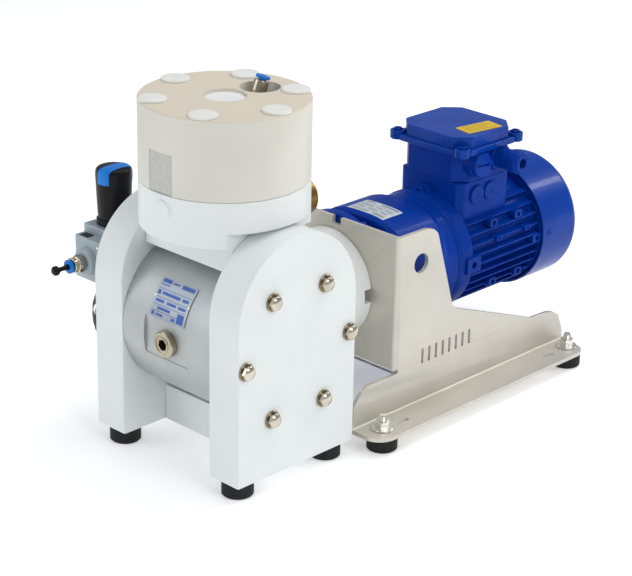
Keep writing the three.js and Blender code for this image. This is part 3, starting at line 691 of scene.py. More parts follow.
# %% [markdown]
# ## Tie bolts and short screws
# Each head is a domed hexagon nut on a thick washer with chamfered edges. The nut is a hexagon bar cut by a
# turned dome, which is how real nuts get their curved corner facets. A ring tree copies the bolts. Four go right
# through; the two level with the shaft would meet the drive, so on the real pump they are short screws, and the
# tree leaves those two places out.

# %% Bolt heads
def polygon(sides, flats, phase=0.0):
    reach = flats / 2 / math.cos(math.pi / sides)
    return [(reach * math.cos(phase + math.tau * k / sides), reach * math.sin(phase + math.tau * k / sides))
            for k in range(sides)]


def dome_nut(start, face):
    """A hexagon nut with a domed end, standing along +Z."""
    bar = slab("z", eased(polygon(6, 12.8), 0.5, 3), start, face)
    dome = turned("z", ORIGIN, [(0, start - 1), (6.9, start - 1), (7.45, start + 0.9), (7.45, face - 3.4),
                                   (7.0, face - 2.5), (6.0, face - 1.3), (4.4, face - 0.45), (2.2, face - 0.1),
                                (0, face)], 96)
    return machined(bar, keeps=[dome])


def washer(inner, outer, low, high):
    return turned("z", ORIGIN, [(inner, low), (outer, low, 0.2), (outer, high - 0.55, 0.1), (outer - 0.55, high, 0.1),
                                   (inner, high)], 72, 0.1)


def mirrored(obj):
    obj.data.transform(Matrix.Diagonal((1, 1, -1, 1)))
    obj.data.flip_normals()
    return obj


def head(side):
    parts = [washer(4.2, 8.5, OUTER_X + 0.25, OUTER_X + 1.95), dome_nut(OUTER_X + 2.0, OUTER_X + 7.9)]
    return parts if side > 0 else [mirrored(part) for part in parts]


through = merged("through_bolt", [rod("z", ORIGIN, 4, -OUTER_X - 6, OUTER_X + 6, 32)] + head(1) + head(-1))
bolts = repeated(RING, through, bolt_steel, at(*AXIS) @ ALONG_X, Count=6, Radius=BOLT_RING, Leave_every=3,
                 Face_outward=0.0)
show(bolts, "tie_bolts", bolt_steel, "frame", [f"tie_bolt_{n}" for n in (2, 3, 5, 6)], bevel=0.15, limit=30)
for word, side in (("right", 1), ("left", -1)):
    reach = sorted((side * 30, side * (OUTER_X + 6)))
    short = merged("short_screw", [rod("z", ORIGIN, 4, *reach, 32)] + head(side))
    screws = repeated(RING, short, bolt_steel, at(*AXIS) @ ALONG_X, Count=6, Radius=BOLT_RING, Keep_every=3,
                      Face_outward=0.0)
    show(screws, f"screws_{word}", bolt_steel, "frame", [f"screw_{word}_{n}" for n in (1, 4)], bevel=0.15,
         limit=30)

# %% [markdown]
# ## Drain plug and nameplate
# The plug is turned with a ring groove and a hexagon socket. The nameplate is thin foil bent round the drum. A
# foil like that is a grid of points on an arc, given a thickness. Real plates carry print; this one has only plain
# bars and empty frames, each a still thinner patch of blue on the same arc, because words have no place here.

# %% Drain plug
plug = turned("y", (0, 0, AXIS_Z - 2), [(0, -77.6), (7.0, -77.6), (7.0, -76.9), (9.2, -76.9), (9.2, -77.6),
                                        (11.9, -77.6),
                                        (12.8, -76.7), (12.8, -71.8), (8, -71.8), (8, -60), (0, -60)], 96, 0.22)
socket = slab("y", [(x, z + AXIS_Z - 2) for x, z in polygon(6, 10, 0.3)], -80, -71)
show(machined(plug, cuts=[socket]), "drain_plug_turned", warm_steel, "frame", ["drain_plug"])
# painted shade: a black plate at the bottom of the hexagon socket darkens the recess
socket_shade_plate = slab("y", [(x, z + AXIS_Z - 2) for x, z in polygon(6, 9.6, 0.3)], -71.6, -70.6)
show(socket_shade_plate, "plug_socket_floor", black_plastic, "frame", ())

# %% Curved plates
ARC_STEP = 1.2       # degrees between two points of the foil


def curved_patch(x0, x1, a0, a1, radius, thick, corner=0.0):
    """A foil lying on a cylinder along X. Angles are degrees above the horizontal at the front, -Y."""
    outline = eased([(x0, a0), (x1, a0), (x1, a1), (x0, a1)], corner, 4) if corner else \
        [Vector(p) for p in ((x0, a0), (x1, a0), (x1, a1), (x0, a1))]
    full = []
    for p, q in zip(outline, outline[1:] + outline[:1]):
        parts = max(1, int(abs(q.y - p.y) / ARC_STEP))
        full += [p.lerp(q, k / parts) for k in range(parts)]
    bm = bmesh.new()
    layers = [[bm.verts.new((p.x, p.y, r)) for p in full] for r in (0, 1)]
    bm.faces.new(layers[0])
    bm.faces.new(layers[1])
    for k in range(len(full)):
        n = (k + 1) % len(full)
        bm.faces.new((layers[0][k], layers[0][n], layers[1][n], layers[1][k]))
    for cut in range(1, int((a1 - a0) / ARC_STEP)):
        level = a0 + ARC_STEP * cut
        bmesh.ops.bisect_plane(bm, geom=bm.verts[:] + bm.edges[:] + bm.faces[:], plane_co=(0, level, 0),
                               plane_no=(0, 1, 0), dist=1e-4)
    for vert in bm.verts:
        angle, reach = math.radians(vert.co.y), radius + thick * vert.co.z
        vert.co = (vert.co.x, -reach * math.cos(angle), AXIS_Z + reach * math.sin(angle))
    return blank(bm)


PLATE_LOW, PLATE_HIGH = 15.4, 44.6
foil = curved_patch(-23.4, 23.4, PLATE_LOW, PLATE_HIGH, DRUM_R + 0.3, 0.7, 1.2)
show(foil, "name_foil", plate_silver, "frame", ["nameplate"])
marks = []
rows = [(-21, -9.5, 40.6, 43.4), (-7.5, 1.2, 41.2, 42.6), (4.6, 21, 40.4, 43.4), (-21, -9.8, 38.6, 39.4),
        (-21, 21, 29.6, 30.0), (-21, 21, 35.8, 36.2), (-21, 21, 24.4, 24.8), (-21, 21, 19.8, 20.2),
        (-21, -17, 31.6, 34.8),
        (-15, 9, 32.2, 34.4), (12, 20, 32.2, 34.4), (-20, -9, 26.4, 28.4), (-5, 7, 26.4, 28.4), (10, 20, 26.4, 28.4),
        (-21, -17.4, 16.6, 19.2), (-15, 2, 21.4, 23.4), (5, 10, 16.8, 19.0), (12, 20.6, 16.8, 23.6),
        (-15.4, -6, 17.0, 18.6)]
for x0, x1, low, high in rows:
    marks.append(curved_patch(x0, x1, low, high, DRUM_R + 0.95, 0.12))
show(merged("plate_bars", marks), "plate_bars", plate_blue, "frame", ())
rivets = [turned((0, -math.cos(math.radians(30)), math.sin(math.radians(30))), (x, 0, AXIS_Z),
                 [(0, DRUM_R + 0.8), (1.1, DRUM_R + 0.8), (0.9, DRUM_R + 1.3), (0, DRUM_R + 1.5)],
                 20) for x in (-22.2, 22.2)]
show(merged("plate_rivets", rivets), "plate_rivets", bright_steel, "frame", ())

# %% [markdown]
# ## Pulsation dampener
# The dampener is a white base and a cream body, both turned. The base has a lower step that drops between the
# housings, so it is a disc cut by a box, with a neck down to the drum. The body's top has a shallow middle recess,
# six capped screw holes and a deeper hole for the air fitting, and one flat milled on its side.

# %% Dampener base
base = turned("z", ORIGIN, [(0, 215), (DAMPENER_R, 215), (DAMPENER_R, 258.4), (0, 258.4)], 180, 0.8)
base = machined(base, cuts=[block(58.5, 90, -90, 90, 205, 229.4), block(-90, -58.5, -90, 90, 205, 229.4)])
neck = slab("z", eased([(-58.5, -46), (58.5, -46), (58.5, 46), (-58.5, 46)], 2.0), 189.3, 216)
stub = turned("y", (3.8, 0, 245), [(0, -80.4), (7.6, -80.4), (8.4, -80.0), (8.4, -78.6), (10.4, -78.2), (10.4, -74),
                                   (0, -74)], 64)
base = machined(base, adds=[neck, stub], cuts=[rod("x", (0, 0, 202), 7, -80, 80), rod("z", ORIGIN, 7, 200, 270),
                                                     rod("y", (0, 0, 214), 13.5, 20, 90)])
show(base, "dampener_base_turned", white_turned, "frame", ["dampener_base"], bevel=0.4)

# %% Dampener body
TOP, CAP_RING = DAMPENER_TOP, 66.0
shell = turned("z", ORIGIN, [(0, DAMPENER_LOW), (DAMPENER_R, DAMPENER_LOW, 0.8), (DAMPENER_R, TOP, 1.2), (0, TOP)],
               180, 0.8)
cuts = [rod("z", ORIGIN, 20.1, TOP - 4.5, TOP + 5, 96),
        rod("z", (2.5, 41.4, 0), 18.8, TOP - 18, TOP + 5, 96),
        block(-15.2, 14.8, -90, -76.4, 250, 297)]
cuts += [rod("z", (CAP_RING * math.cos(a), CAP_RING * math.sin(a), 0), 10.5, TOP - 7, TOP + 5, 48) for a in hexagon]
show(machined(shell, cuts=cuts), "dampener_shell", dampener_plastic, "frame", ["dampener_body"],
     bevel=0.5)
flat = block(-14.9, 14.5, -76.9, -76.3, 259.0, 296.7)
show(flat, "milled_flat", milled_flat, "frame", ())
insert = turned("z", ORIGIN, [(0, TOP - 4.4), (19.6, TOP - 4.4), (19.6, TOP - 3.2),
                                 (18.4, TOP - 2.4), (16.8, TOP - 2.6), (0, TOP - 2.7)], 96)
show(insert, "dampener_insert", insert_plastic, "frame", ())

# %% Screw caps on a ring, and the air fitting
cap = turned("z", ORIGIN, [(0, TOP - 6), (10.2, TOP - 6), (10.2, TOP + 0.2), (13.4, TOP + 0.2), (13.4, TOP + 1.5),
                              (12.7, TOP + 2.4), (9.9, TOP + 2.75), (9.6, TOP + 2.55), (9.3, TOP + 2.78),
                           (0, TOP + 2.8)], 72)
caps = repeated(RING, cap, cap_plastic, at(0, 0, 0), Count=6, Radius=CAP_RING, Face_outward=0.0)
show(caps, "screw_caps", cap_plastic, "frame", [f"dampener_cap_{n}" for n in range(1, 7)])
lean = Vector((0.087, 0.32, 0.943)).normalized()
fit_base = (-0.7, 38.4, TOP - 14.7)
u, v, w = directions(lean)
tilt = Matrix(((u.x, v.x, w.x, fit_base[0]), (u.y, v.y, w.y, fit_base[1]), (u.z, v.z, w.z, fit_base[2]),
               (0, 0, 0, 1)))
nut = machined(slab("z", eased(polygon(6, 15), 0.5, 3), 0, 9), keeps=[turned("z", ORIGIN, [
    (0, 0), (7.6, 0), (8.5, 0.9), (8.5, 8.1), (7.6, 9), (0, 9)], 72)])
barrel = turned("z", ORIGIN, [(0, 8), (7.2, 8), (7.2, 19.6), (6.6, 21), (0, 21)], 72)
fitting = machined(nut, adds=[barrel], cuts=[rod("z", ORIGIN, 4.2, 4, 30)])
fitting.data.transform(tilt)
show(fitting, "air_fitting", warm_steel, "frame", ["dampener_fitting"], bevel=0.2)
ring = turned("z", ORIGIN, [(3, 12), (3.8, 12), (3.8, 22.6), (6.4, 22.6), (7.0, 24.9), (6.2, 25.6), (3.4, 25.6),
                            (3, 25.2)], 64)
ring.data.transform(tilt)
show(ring, "air_release_ring", blue_plastic, "dampener_ring", ["dampener_release_ring"])

# %% [markdown]
# ## Outlet nipple and adapter ring
# At the back of the dampener a brass nipple takes the liquid away. Between the drum and the bracket sits a thick
# white ring, hollowed to fit over the drum, with one square notch near its back rim.

# %% Nipple and adapter
nipple = turned("y", (0, 0, 214), [(9, 30), (13, 30), (13, 80.4), (18.6, 80.4), (18.6, 103.9), (9, 103.9)], 96, 0.7)
show(nipple, "outlet_nipple_turned", brass, "frame", ["outlet_nipple"])
adapter = turned("y", (0, 0, AXIS_Z + 1), [(24, 40), (55.5, 40), (55.5, 141.7), (24, 141.7)], 144, 0.9)
cuts = [rod("x", AXIS, DRUM_R + 0.3, -70, 70, 180), block(58.7, 90, 0, 75.3, 0, 250),
        block(-90, -58.7, 0, 75.3, 0, 250),
        block(40, 60, 132, 147, AXIS_Z - 5, AXIS_Z + 9)]
show(machined(adapter, cuts=cuts), "adapter_ring_turned", ring_plastic, "frame", ["adapter_ring"],
     bevel=0.35)

# %% [markdown]
# ## Bent sheet bracket
# The bracket is one sheet of stainless, cut by laser and folded: a front plate, two side walls and two flanges.
# It is easiest to make as the real one would look from three sides. A folded L is drawn end-on and run along Y,
# then cut to the wall's side outline and to the flange's plan outline. The front plate is a U drawn from above.
# Rounded bends, at the sheet's own radii, are what make it read as folded metal and not as boards.

# %% Bracket walls, flanges and front plate
PLATE_Y, BEND = 142.0, 6.0
side_outline = eased([(83, -1, 0), (406, -1, 0), (405.5, 12, 6), (398, 32, 8), (388, 38.5, 6), (379, 40.5, 4),
                      (353, 41.5, 3),
                      (229, 88, 4), (224, 93, 4), (198, 175, 8), (192, 180.5, 4), (182, 183.3, 4), (140, 183.5, 0),
                      (140, 43.6, 0), (104, 43, 4), (96, 39, 4), (86, 26, 8)], 2.0, 5)
plan_outline = eased([(70, 82.9, 0), (125, 82.9, 20), (125, 402, 20), (92, 402, 1), (92, 412, 0), (70, 412, 0)], 2.0,
                     8)
fold = eased([(84, 190, 0), (84, 0, BEND), (127, 0, 0), (127, SHEET, 0), (88, SHEET, BEND - SHEET), (88, 190, 0)],
             1.0, 6)
walls = []
for side in (1, -1):
    wall = slab("y", [(side * x, z) for x, z in fold], 80, 412)
    keeps = [slab("x", side_outline, -130, 130), slab("z", [(side * x, y) for x, y in plan_outline], -1, 200)]
    wall = machined(wall, keeps=keeps, cuts=[block(-130, 130, 100, 156, 43.0, 200)])
    walls.append(wall)
front = eased([(-88, 170, 0), (-88, PLATE_Y, BEND), (88, PLATE_Y, BEND), (88, 170, 0), (84, 170, 0),
               (84, PLATE_Y + SHEET, 2), (-84, PLATE_Y + SHEET, 2), (-84, 170, 0)], 1.0, 6)
bend = machined(slab("z", front, 40.5, 190), keeps=[slab("x", side_outline, -130, 130)],
                cuts=[block(-83.99, 83.99, 100, 165, 0, 43.2)])
holes = [rod("y", AXIS, 36, 130, 160, 96), rod("x", (0, 175, 150), 10, -100, 100, 64),
         slab("y", eased([(1, 176), (12, 176), (12, 190), (1, 190)], 1.5), 130, 160),
         slab("x", eased([(139, 43.4), (147, 43.4), (147, 47), (139, 47)], 1.2), -100, 100)]
foot_x, foot_mid, foot_span = 106.0, 249.0, 284.0
for x in (-foot_x, foot_x):
    holes += [rod("z", (x, y, 0), 4.6, -2, 8, 32) for y in (foot_mid - foot_span / 2, foot_mid + foot_span / 2)]

# %% [markdown]
# Two more things are cut by laser: a short adjusting slot in each flange beside every foot, and a row of plain
# slots low in each wall. The slots are one rounded bar each, copied by the grid tree, and then used as cutters.

# %% Slots in the bracket
def rounded_bar(axis, half, radius, low, high, across=False):
    """A bar with round ends, run along an axis. Its length lies along the first or second flat direction."""
    outline = arc_points(half, 0, radius, -90, 90, 8) + arc_points(-half, 0, radius, 90, 270, 8)
    return slab(axis, [(q, p) for p, q in outline] if across else outline, low, high)


flange_slots = repeated(GRID, rounded_bar("z", 6, 2.4, -3, 8, True), sheet_metal, at(0, 245.5, 0), Width=217.2,
                        Length=225.0, Across=2, Along=2)
wall_slots = repeated(GRID, rounded_bar("x", 6.5, 1.7, -100, 100, True), sheet_metal, at(0, 217, 51), Width=0.0,
                      Length=70.0, Across=1, Along=8)
bracket = machined(walls[0], adds=[walls[1], bend], cuts=holes + [flange_slots, wall_slots])
show(bracket, "folded_bracket", sheet_metal, "frame", ["motor_bracket"], bevel=0.35, limit=42)

# %% [markdown]
# ## Feet, studs and nuts
# Eight rubber feet carry the set: four under the pump and four under the bracket. A grid tree sets each group of
# four. Each foot is turned, and the bracket's feet have studs with nuts.

# %% Feet and foot nuts
def foot():
    return turned("z", ORIGIN, [(0, -15.6), (9.5, -15.6), (10.5, -16), (13.6, -16), (15, -14.6), (15, -2.4),
                                   (14.4, -1.8), (14.4, -0.3), (0, -0.3)], 72, 0.25)


pump_feet = repeated(GRID, foot(), rubber, at(0, 0, 0), Width=156.0, Length=114.0, Across=2, Along=2)
show(pump_feet, "pump_feet", rubber, "frame", [f"pump_foot_{n}" for n in range(1, 5)])
frame_feet = repeated(GRID, foot(), rubber, at(0, foot_mid, 0), Width=2 * foot_x, Length=foot_span, Across=2, Along=2)
show(frame_feet, "bracket_feet", rubber, "frame", [f"bracket_foot_{n}" for n in range(1, 5)])
stud = turned("z", ORIGIN, [(0, 0), (4, 0)] + [(4.0 if k % 2 else 3.65, 12.6 + 0.5 * k) for k in range(11)] +
              [(3.2, 18.8), (0, 19)], 32)
foot_nut = machined(slab("z", eased(polygon(6, 13), 0.4, 3), 5.9, 12.5), keeps=[turned("z", ORIGIN, [
    (0, 5.9), (6.9, 5.9), (7.5, 6.6), (7.5, 11.6), (6.5, 12.5), (0, 12.5)], 72)])
set_of = merged("foot_nut", [stud, washer(4.3, 11, 4.3, 5.9), foot_nut])
nuts = repeated(GRID, set_of, bright_steel, at(0, foot_mid, 0), Width=2 * foot_x, Length=foot_span, Across=2, Along=2)
show(nuts, "foot_nuts", bright_steel, "frame", [f"foot_nut_{n}" for n in range(1, 5)], bevel=0.15, limit=30)

# %% [markdown]
# ## Gear housing
# Behind the bracket a round flange, held by eight bolts, leads to the gear case. Its section is a square with very
# round shoulders, a superellipse, so the case is a loft: the same curve at several places along Y, each a little
# larger or smaller, and quite round at the end that meets the motor. Lofting gives the soft cast edges that a plain
# extrusion would not.

# %% Gear case
ROUND = 120          # points round a superellipse


def superellipse(half, power):
    points = []
    for k in range(ROUND):
        a = math.tau * k / ROUND
        c, s = math.cos(a), math.sin(a)
        r = half / (abs(c) ** power + abs(s) ** power) ** (1 / power)
        points.append((r * c, r * s))
    return points


def loft(sections):
    """Sections are (y, half size, power). The two ends are closed."""
    bm = bmesh.new()
    rings = [[bm.verts.new((x, y, AXIS_Z + z)) for x, z in superellipse(half, power)] for y, half, power in sections]
    for a, b in zip(rings, rings[1:]):
        for k in range(len(a)):
            n = (k + 1) % len(a)
            bm.faces.new((a[k], a[n], b[n], b[k]))
    bm.faces.new(rings[0])
    bm.faces.new(rings[-1])
    return blank(bm)


CASE, POWER = 62.0, 2.9
back_of_plate = PLATE_Y + SHEET + 0.3
case = loft([(179, 56, 2.6), (179.6, 58.6, 2.7), (181, 60.6, 2.8), (183.5, 61.8, 2.9), (186, CASE, POWER),
             (238, CASE, POWER),
             (241, 61.9, 2.75), (243, 61.8, 2.5), (245, 61.7, 2.3), (248, 61.8, 2.12), (252, 62.0, 2.0),
             (261.4, 62.3, 2.0),
             (262, 61.9, 2.0)])
flange = turned("y", AXIS, [(0, back_of_plate), (70, back_of_plate), (70, 157), (56, 157), (52, 161), (52, 182),
                            (0, 182)], 144, 1.2)
heads = machined(slab("z", eased(polygon(6, 10), 0.4, 3), 156.5, 163.4), keeps=[turned("z", ORIGIN, [
    (0, 156.5), (5.9, 156.5), (5.9, 162.4), (5.0, 163.4), (0, 163.4)], 48)])
flange_bolts = repeated(RING, heads, blue_enamel, at(*AXIS) @ INTO_Y, Count=8,
                        Radius=62.5, Start_angle=math.radians(22.5), Face_outward=0.0)
gear = machined(case, adds=[flange], cuts=[rod("y", AXIS, 11, 140, 170)])
show(gear, "gear_case", blue_enamel, "frame", ["gearbox"], bevel=0.4)
show(flange_bolts, "flange_bolts", bright_steel, "frame", ())


def draped_label(x0, x1, y0, y1, thick, lift):
    """A foil lying on the crowned top of the gear case."""
    def height(x):
        return AXIS_Z + CASE * (1 - (abs(x) / CASE) ** POWER) ** (1 / POWER) + lift
    cells = max(2, int((x1 - x0) / 2))
    bm = bmesh.new()
    grid = [[[bm.verts.new((x0 + (x1 - x0) * i / cells, y, height(x0 + (x1 - x0) * i / cells) + t)) for t in (0,
                                                                                                              thick)]
             for i in range(cells + 1)] for y in (y0, y1)]
    for i in range(cells):
        a, b, c, d = grid[0][i], grid[0][i + 1], grid[1][i + 1], grid[1][i]
        bm.faces.new((a[1], b[1], c[1], d[1]))
        bm.faces.new((a[0], d[0], c[0], b[0]))
        bm.faces.new((a[0], b[0], b[1], a[1]))
        bm.faces.new((c[0], d[0], d[1], c[1]))
    for column in (0, cells):
        a, d = grid[0][column], grid[1][column]
        bm.faces.new((a[0], a[1], d[1], d[0]))
    return blank(bm)


foil = draped_label(-21, 27, 185.5, 215, 0.35, 0.05)
show(foil, "gear_foil", label_silver, "frame", ())
prints = [(-18, -6, 210.6, 212.6), (2, 24, 210.2, 213), (-18, 24, 206.6, 207.2), (-18, -2, 202.6, 204.4),
          (3, 10, 202.6, 204.4),
          (14, 24, 202.6, 204.4), (-18, 24, 199.6, 200.1), (-18, -8, 195.8, 197.6), (-3, 9, 195.8, 197.6),
          (14, 22, 195.8, 197.6),
          (-18, 24, 192.8, 193.3), (-18, 4, 188.6, 190.6), (10, 24, 188.2, 191)]
bars = [draped_label(x0, x1, y0, y1, 0.08, 0.38) for x0, x1, y0, y1 in prints]
show(merged("gear_foil_bars", bars), "gear_foil_bars", label_grey, "frame", ())

# %% [markdown]
# ## Motor housing
# The motor is a cast cylinder with straight parallel fins: the mould opens sideways, so all fins on the flanks are
# level, and those underneath hang straight down. Every fin ends on the same circle. The tree of chords does exactly
# that: it stretches each bar to the width of the circle at its own height. Cast lugs with blind holes sit between
# the fins, the same on both sides, and an eight-sided neck carries the terminal box.

# %% Fins, lugs and terminal neck
BOX_X, BOX_Y = 2.0, 321.0
FIN_R, PITCH = 62.4, 10.2


def octagon(half_x, half_y, corner, ease=2.5):
    a, b, c = half_x, half_y, corner
    points = [(a - c, -b), (a, -b + c), (a, b - c), (a - c, b), (-a + c, b), (-a, b - c), (-a, -b + c), (-a + c, -b)]
    return eased([(BOX_X + x, BOX_Y + y) for x, y in points], ease, 4)


def fin():
    return slab("y", [(-1, -0.7), (0, -1.4), (1, -0.7), (1, 0.7), (0, 1.4), (-1, 0.7)], 281, 389.4)


flank_fins = repeated(CHORDS, fin(), blue_enamel, at(*AXIS), Count=10, Pitch=PITCH, Radius=FIN_R, Share=1.0)
low_fins = repeated(CHORDS, fin(), blue_enamel, at(*AXIS) @ Matrix.Rotation(math.radians(90), 4, "Y"), Count=8,
                    Pitch=PITCH, Radius=FIN_R, Share=1.0)
low_fins = machined(low_fins, cuts=[block(-70, 70, 270, 400, AXIS_Z, AXIS_Z + 80)])
stator = turned("y", AXIS, [(0, 262.3), (62.0, 262.3), (62.4, 263), (63.4, 268), (63.4, 282), (62, 284.4),
                            (55, 288.6, 3),
                                  (55, 391.4), (62.7, 391.4), (62.7, 397.6), (0, 397.6)], 160, 0.8)
parts = [flank_fins, low_fins, slab("z", octagon(42, 40, 7, 5.0), 150, 191.7, 1.0)]
sockets = []
# outer x, middle y, height from the axis, length, height, radius of the socket
lugs = [(66, 282, -2, 21, 17, 3.6), (56.5, 322, 30.6, 12, 8.6, 2.5), (56.5, 361, 30.6, 12, 8.6, 2.5),
        (63.4, 324, 15.3, 10, 5, 1.5),
        (63.4, 369, 15.3, 10, 5, 1.5), (63.6, 385, 0, 14, 10, 2.8), (55, 326, -35, 12, 9, 2.6),
        (55, 367, -34, 12, 9, 2.6)]
for x, y, dz, length, tall, hole in lugs:
    z = AXIS_Z + dz
    outline = eased([(y - length / 2, z - tall / 2), (y + length / 2, z - tall / 2), (y + length / 2, z + tall / 2),
                     (y - length / 2, z + tall / 2)], min(2.4, tall / 3), 4)
    for side in (1, -1):
        parts.append(slab("x", outline, *sorted((side * 38, side * x)), 0.9, 3))
        sockets.append(rod("x", (0, y, z), hole, *sorted((side * (x - 6), side * (x + 2))), 32))
for y in (305.7, 327):
    parts.append(turned("x", (0, y, 176.3), [(0, 40), (10, 40), (10, 46.4), (2.2, 46.4), (1.6, 45.8), (0, 45.7)], 64,
                        0.7))
sockets.append(rod("y", AXIS, 9, 300, 410))
motor = machined(stator, adds=parts, cuts=sockets)
show(motor, "motor_casting", blue_enamel, "frame", ["motor_body"], bevel=0.3, limit=45)

# %% [markdown]
# ## Fan cowl and rotor
# The cowl is pressed from sheet, so it is smooth and very glossy: a turned shell with a soft shoulder. Its back
# has rows of slots that follow the circle; the tree of chords makes them, and they are cut out. Inside turns the
# fan, with eight blades placed by the ring tree.

# %% Cowl
COWL_R = (in_pump(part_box("fan_cowl")[1]).x - in_pump(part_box("fan_cowl")[0]).x) / 2
outer = turned("y", AXIS, [(0, 391)] + [tuple(p) for p in eased([(COWL_R, 391, 0.8), (COWL_R, 444, 9),
                                                                 (COWL_R - 6, 452, 5),
               (30, 452, 1), (0, 452)], 1, 8, False)] , 160)
inner = turned("y", AXIS, [(0, 380), (COWL_R - 2.2, 380)] + [tuple(p) for p in eased([(COWL_R - 2.2, 400),
                                                                                      (COWL_R - 2.2, 443, 8),
               (COWL_R - 8, 449.5, 4), (0, 449.5)], 1, 6, False)], 160)
slot_bar = slab("y", eased([(-1, -2.2), (1, -2.2), (1, 2.2), (-1, 2.2)], 0), 440, 460)
slots = repeated(CHORDS, slot_bar, smooth_enamel, at(*AXIS), Count=11, Pitch=8.6, Radius=53.0, Share=1.0)
slots = machined(slots, cuts=[block(-2.5, 2.5, 430, 470, 0, 250)])
cowl = machined(outer, cuts=[inner, slots])
show(cowl, "cowl_pressing", smooth_enamel, "frame", ["fan_cowl"], bevel=0.3)
dimple = turned("z", ORIGIN, [(0, 65.2), (4.6, 65.2), (4.6, 67.0), (3.6, 67.7), (1.7, 67.9), (1.5, 67.2), (0, 67.1)],
                32, 0.15)
dimple.data.transform(Matrix.Rotation(math.radians(90), 4, "Y"))
cowl_screws = repeated(RING, dimple, smooth_enamel, at(0, 401, AXIS_Z) @ ALONG_Y, Count=4, Radius=0.0001,
                       Start_angle=math.radians(2.0), Face_outward=1.0)
show(cowl_screws, "cowl_screws", smooth_enamel, "frame", ())

# %% Rotor and fan
hub = merged("rotor", [turned("y", AXIS, [(0, 302), (8.5, 302), (8.5, 436), (0, 436)], 64, 0.6)])
disc = turned("y", AXIS, [(0, 404), (50, 404), (50, 408), (16, 408), (15, 430), (0, 430)], 96, 0.6)
show(machined(hub, adds=[disc]), "rotor_and_disc", black_plastic, "rotor", ["fan_rotor"])
blade = slab("z", eased([(13.5, -1.2), (50, -1.2), (50, 1.2), (13.5, 1.2)], 0.6), -426, -407.8, 0.4)
blades = repeated(RING, blade, black_plastic, at(*AXIS) @ ALONG_Y, Count=8, Radius=0.0001, Face_outward=1.0)
show(blades, "fan_blades", black_plastic, "rotor", ())

# %% [markdown]
# ## Terminal box
# The box on the motor is a casting with cut corners: an octagon slab, a cover with a step round it, and a lug with
# a screw at each corner. On its right side are two round entries, cut level under the cover. One is closed by a
# slotted plug and the other carries the cable gland.

# %% Terminal box and cover
ENTRY_Z, PLUG_Y, GLAND_Y = 210.5, 303.0, 336.0
upper = slab("z", octagon(43, 41, 15, 3.0), 192, 221.7, 0.8)
entries = [turned("x", (0, y, ENTRY_Z), [(0, 30), (14.5, 30), (14.5, 49), (0, 49)], 80, 0.9) for y in (PLUG_Y,
                                                                                                       GLAND_Y)]
entries.append(turned("x", (0, PLUG_Y, ENTRY_Z), [(0, 48), (13, 48), (13, 52.6), (11.8, 54.2), (0, 54.2)], 80, 0.4))
entries = machined(entries[0], adds=entries[1:], keeps=[block(20, 60, 280, 360, 193, 221.7)])
screwdriver = slab("x", eased([(PLUG_Y - 9, ENTRY_Z - 0.2), (PLUG_Y + 9, ENTRY_Z - 2.2), (PLUG_Y + 9, ENTRY_Z + 0.2),
                               (PLUG_Y - 9, ENTRY_Z + 2.2)], 0.3), 52.4, 58)
box_made = machined(upper, adds=[entries], cuts=[screwdriver])
show(box_made, "terminal_box_casting", blue_enamel, "frame", ["terminal_box"], bevel=0.35)

cover = machined(slab("z", octagon(48.8, 46.8, 13, 3.0), 222, 228, 0.9),
                 adds=[slab("z", octagon(45, 43, 15.5, 2.5), 227, 240, 1.5)])
lug = turned("z", ORIGIN, [(0, 222), (8, 222), (8, 230.9), (0, 230.9)], 56, 0.9)
lug = machined(lug, cuts=[rod("z", ORIGIN, 5.2, 229.6, 236, 32)])
cover_lugs = repeated(GRID, lug, smooth_enamel, at(BOX_X, BOX_Y, 0), Width=86.0, Length=82.0, Across=2, Along=2)
cover = machined(cover, adds=[cover_lugs])
show(cover, "terminal_cover_casting", smooth_enamel, "frame", ["terminal_cover"], bevel=0.3)
cover_screw = machined(turned("z", ORIGIN, [(0, 229.4), (4.3, 229.4), (4.3, 233.0), (0, 233.0)], 40, 0.5),
                       cuts=[slab("z", polygon(6, 4.2), 231.2, 236)])
cover_screws = repeated(GRID, cover_screw, blue_enamel, at(BOX_X, BOX_Y, 0), Width=86.0, Length=82.0, Across=2,
                        Along=2)
show(cover_screws, "cover_screws", blue_enamel, "frame", ())

# %% Gland, earth clamp and yellow label
gland_seat = (0, GLAND_Y, ENTRY_Z)
gland = machined(turned("x", gland_seat, [(0, 49.3), (11, 49.3), (11, 52), (0, 52)], 72), adds=[
    slab("x", eased([(y + GLAND_Y, z + ENTRY_Z) for y, z in polygon(6, 19)], 0.8), 51, 57, 0.5),
    turned("x", gland_seat, [(0, 56), (10.5, 56), (10.5, 65, 0.6), (11.9, 66), (11.9, 73.5, 0.8), (9.4, 77.6),
                             (0, 77.6)], 80, 0.5)],
    cuts=[rod("x", gland_seat, 5.2, 53, 82)])
show(gland, "cable_gland_turned", blue_enamel, "frame", ["cable_gland"], bevel=0.25)
clamp_x, clamp_z, neck_face = -4.0, 174.5, BOX_Y - 40.0
clamp = slab("y", eased([(clamp_x - 24, clamp_z - 12), (clamp_x + 6, clamp_z - 4), (clamp_x + 12, clamp_z + 3),
                         (clamp_x + 8, clamp_z + 10),
                         (clamp_x - 2, clamp_z + 9), (clamp_x - 25, clamp_z - 7)], 2.4), neck_face - 8, neck_face + 1,
             0.8)
screw = machined(turned("y", (clamp_x + 3, 0, clamp_z + 2.5), [(0, neck_face - 12.4), (4.4, neck_face - 12.4),
                                                               (5.2, neck_face - 11.6),
                 (5.2, neck_face - 7), (0, neck_face - 7)], 40, 0.2),
                 cuts=[slab("y", [(x + clamp_x + 3, z + clamp_z + 2.5) for x, z in polygon(6, 5)], neck_face - 14,
                            neck_face - 10.4)])
show(machined(clamp, adds=[screw]), "earth_clamp", blue_enamel, "frame", (), bevel=0.2)
label_turn = Matrix.Translation((29.1, 323.1, 0)) @ Matrix.Rotation(math.radians(-9), 4, "Z")
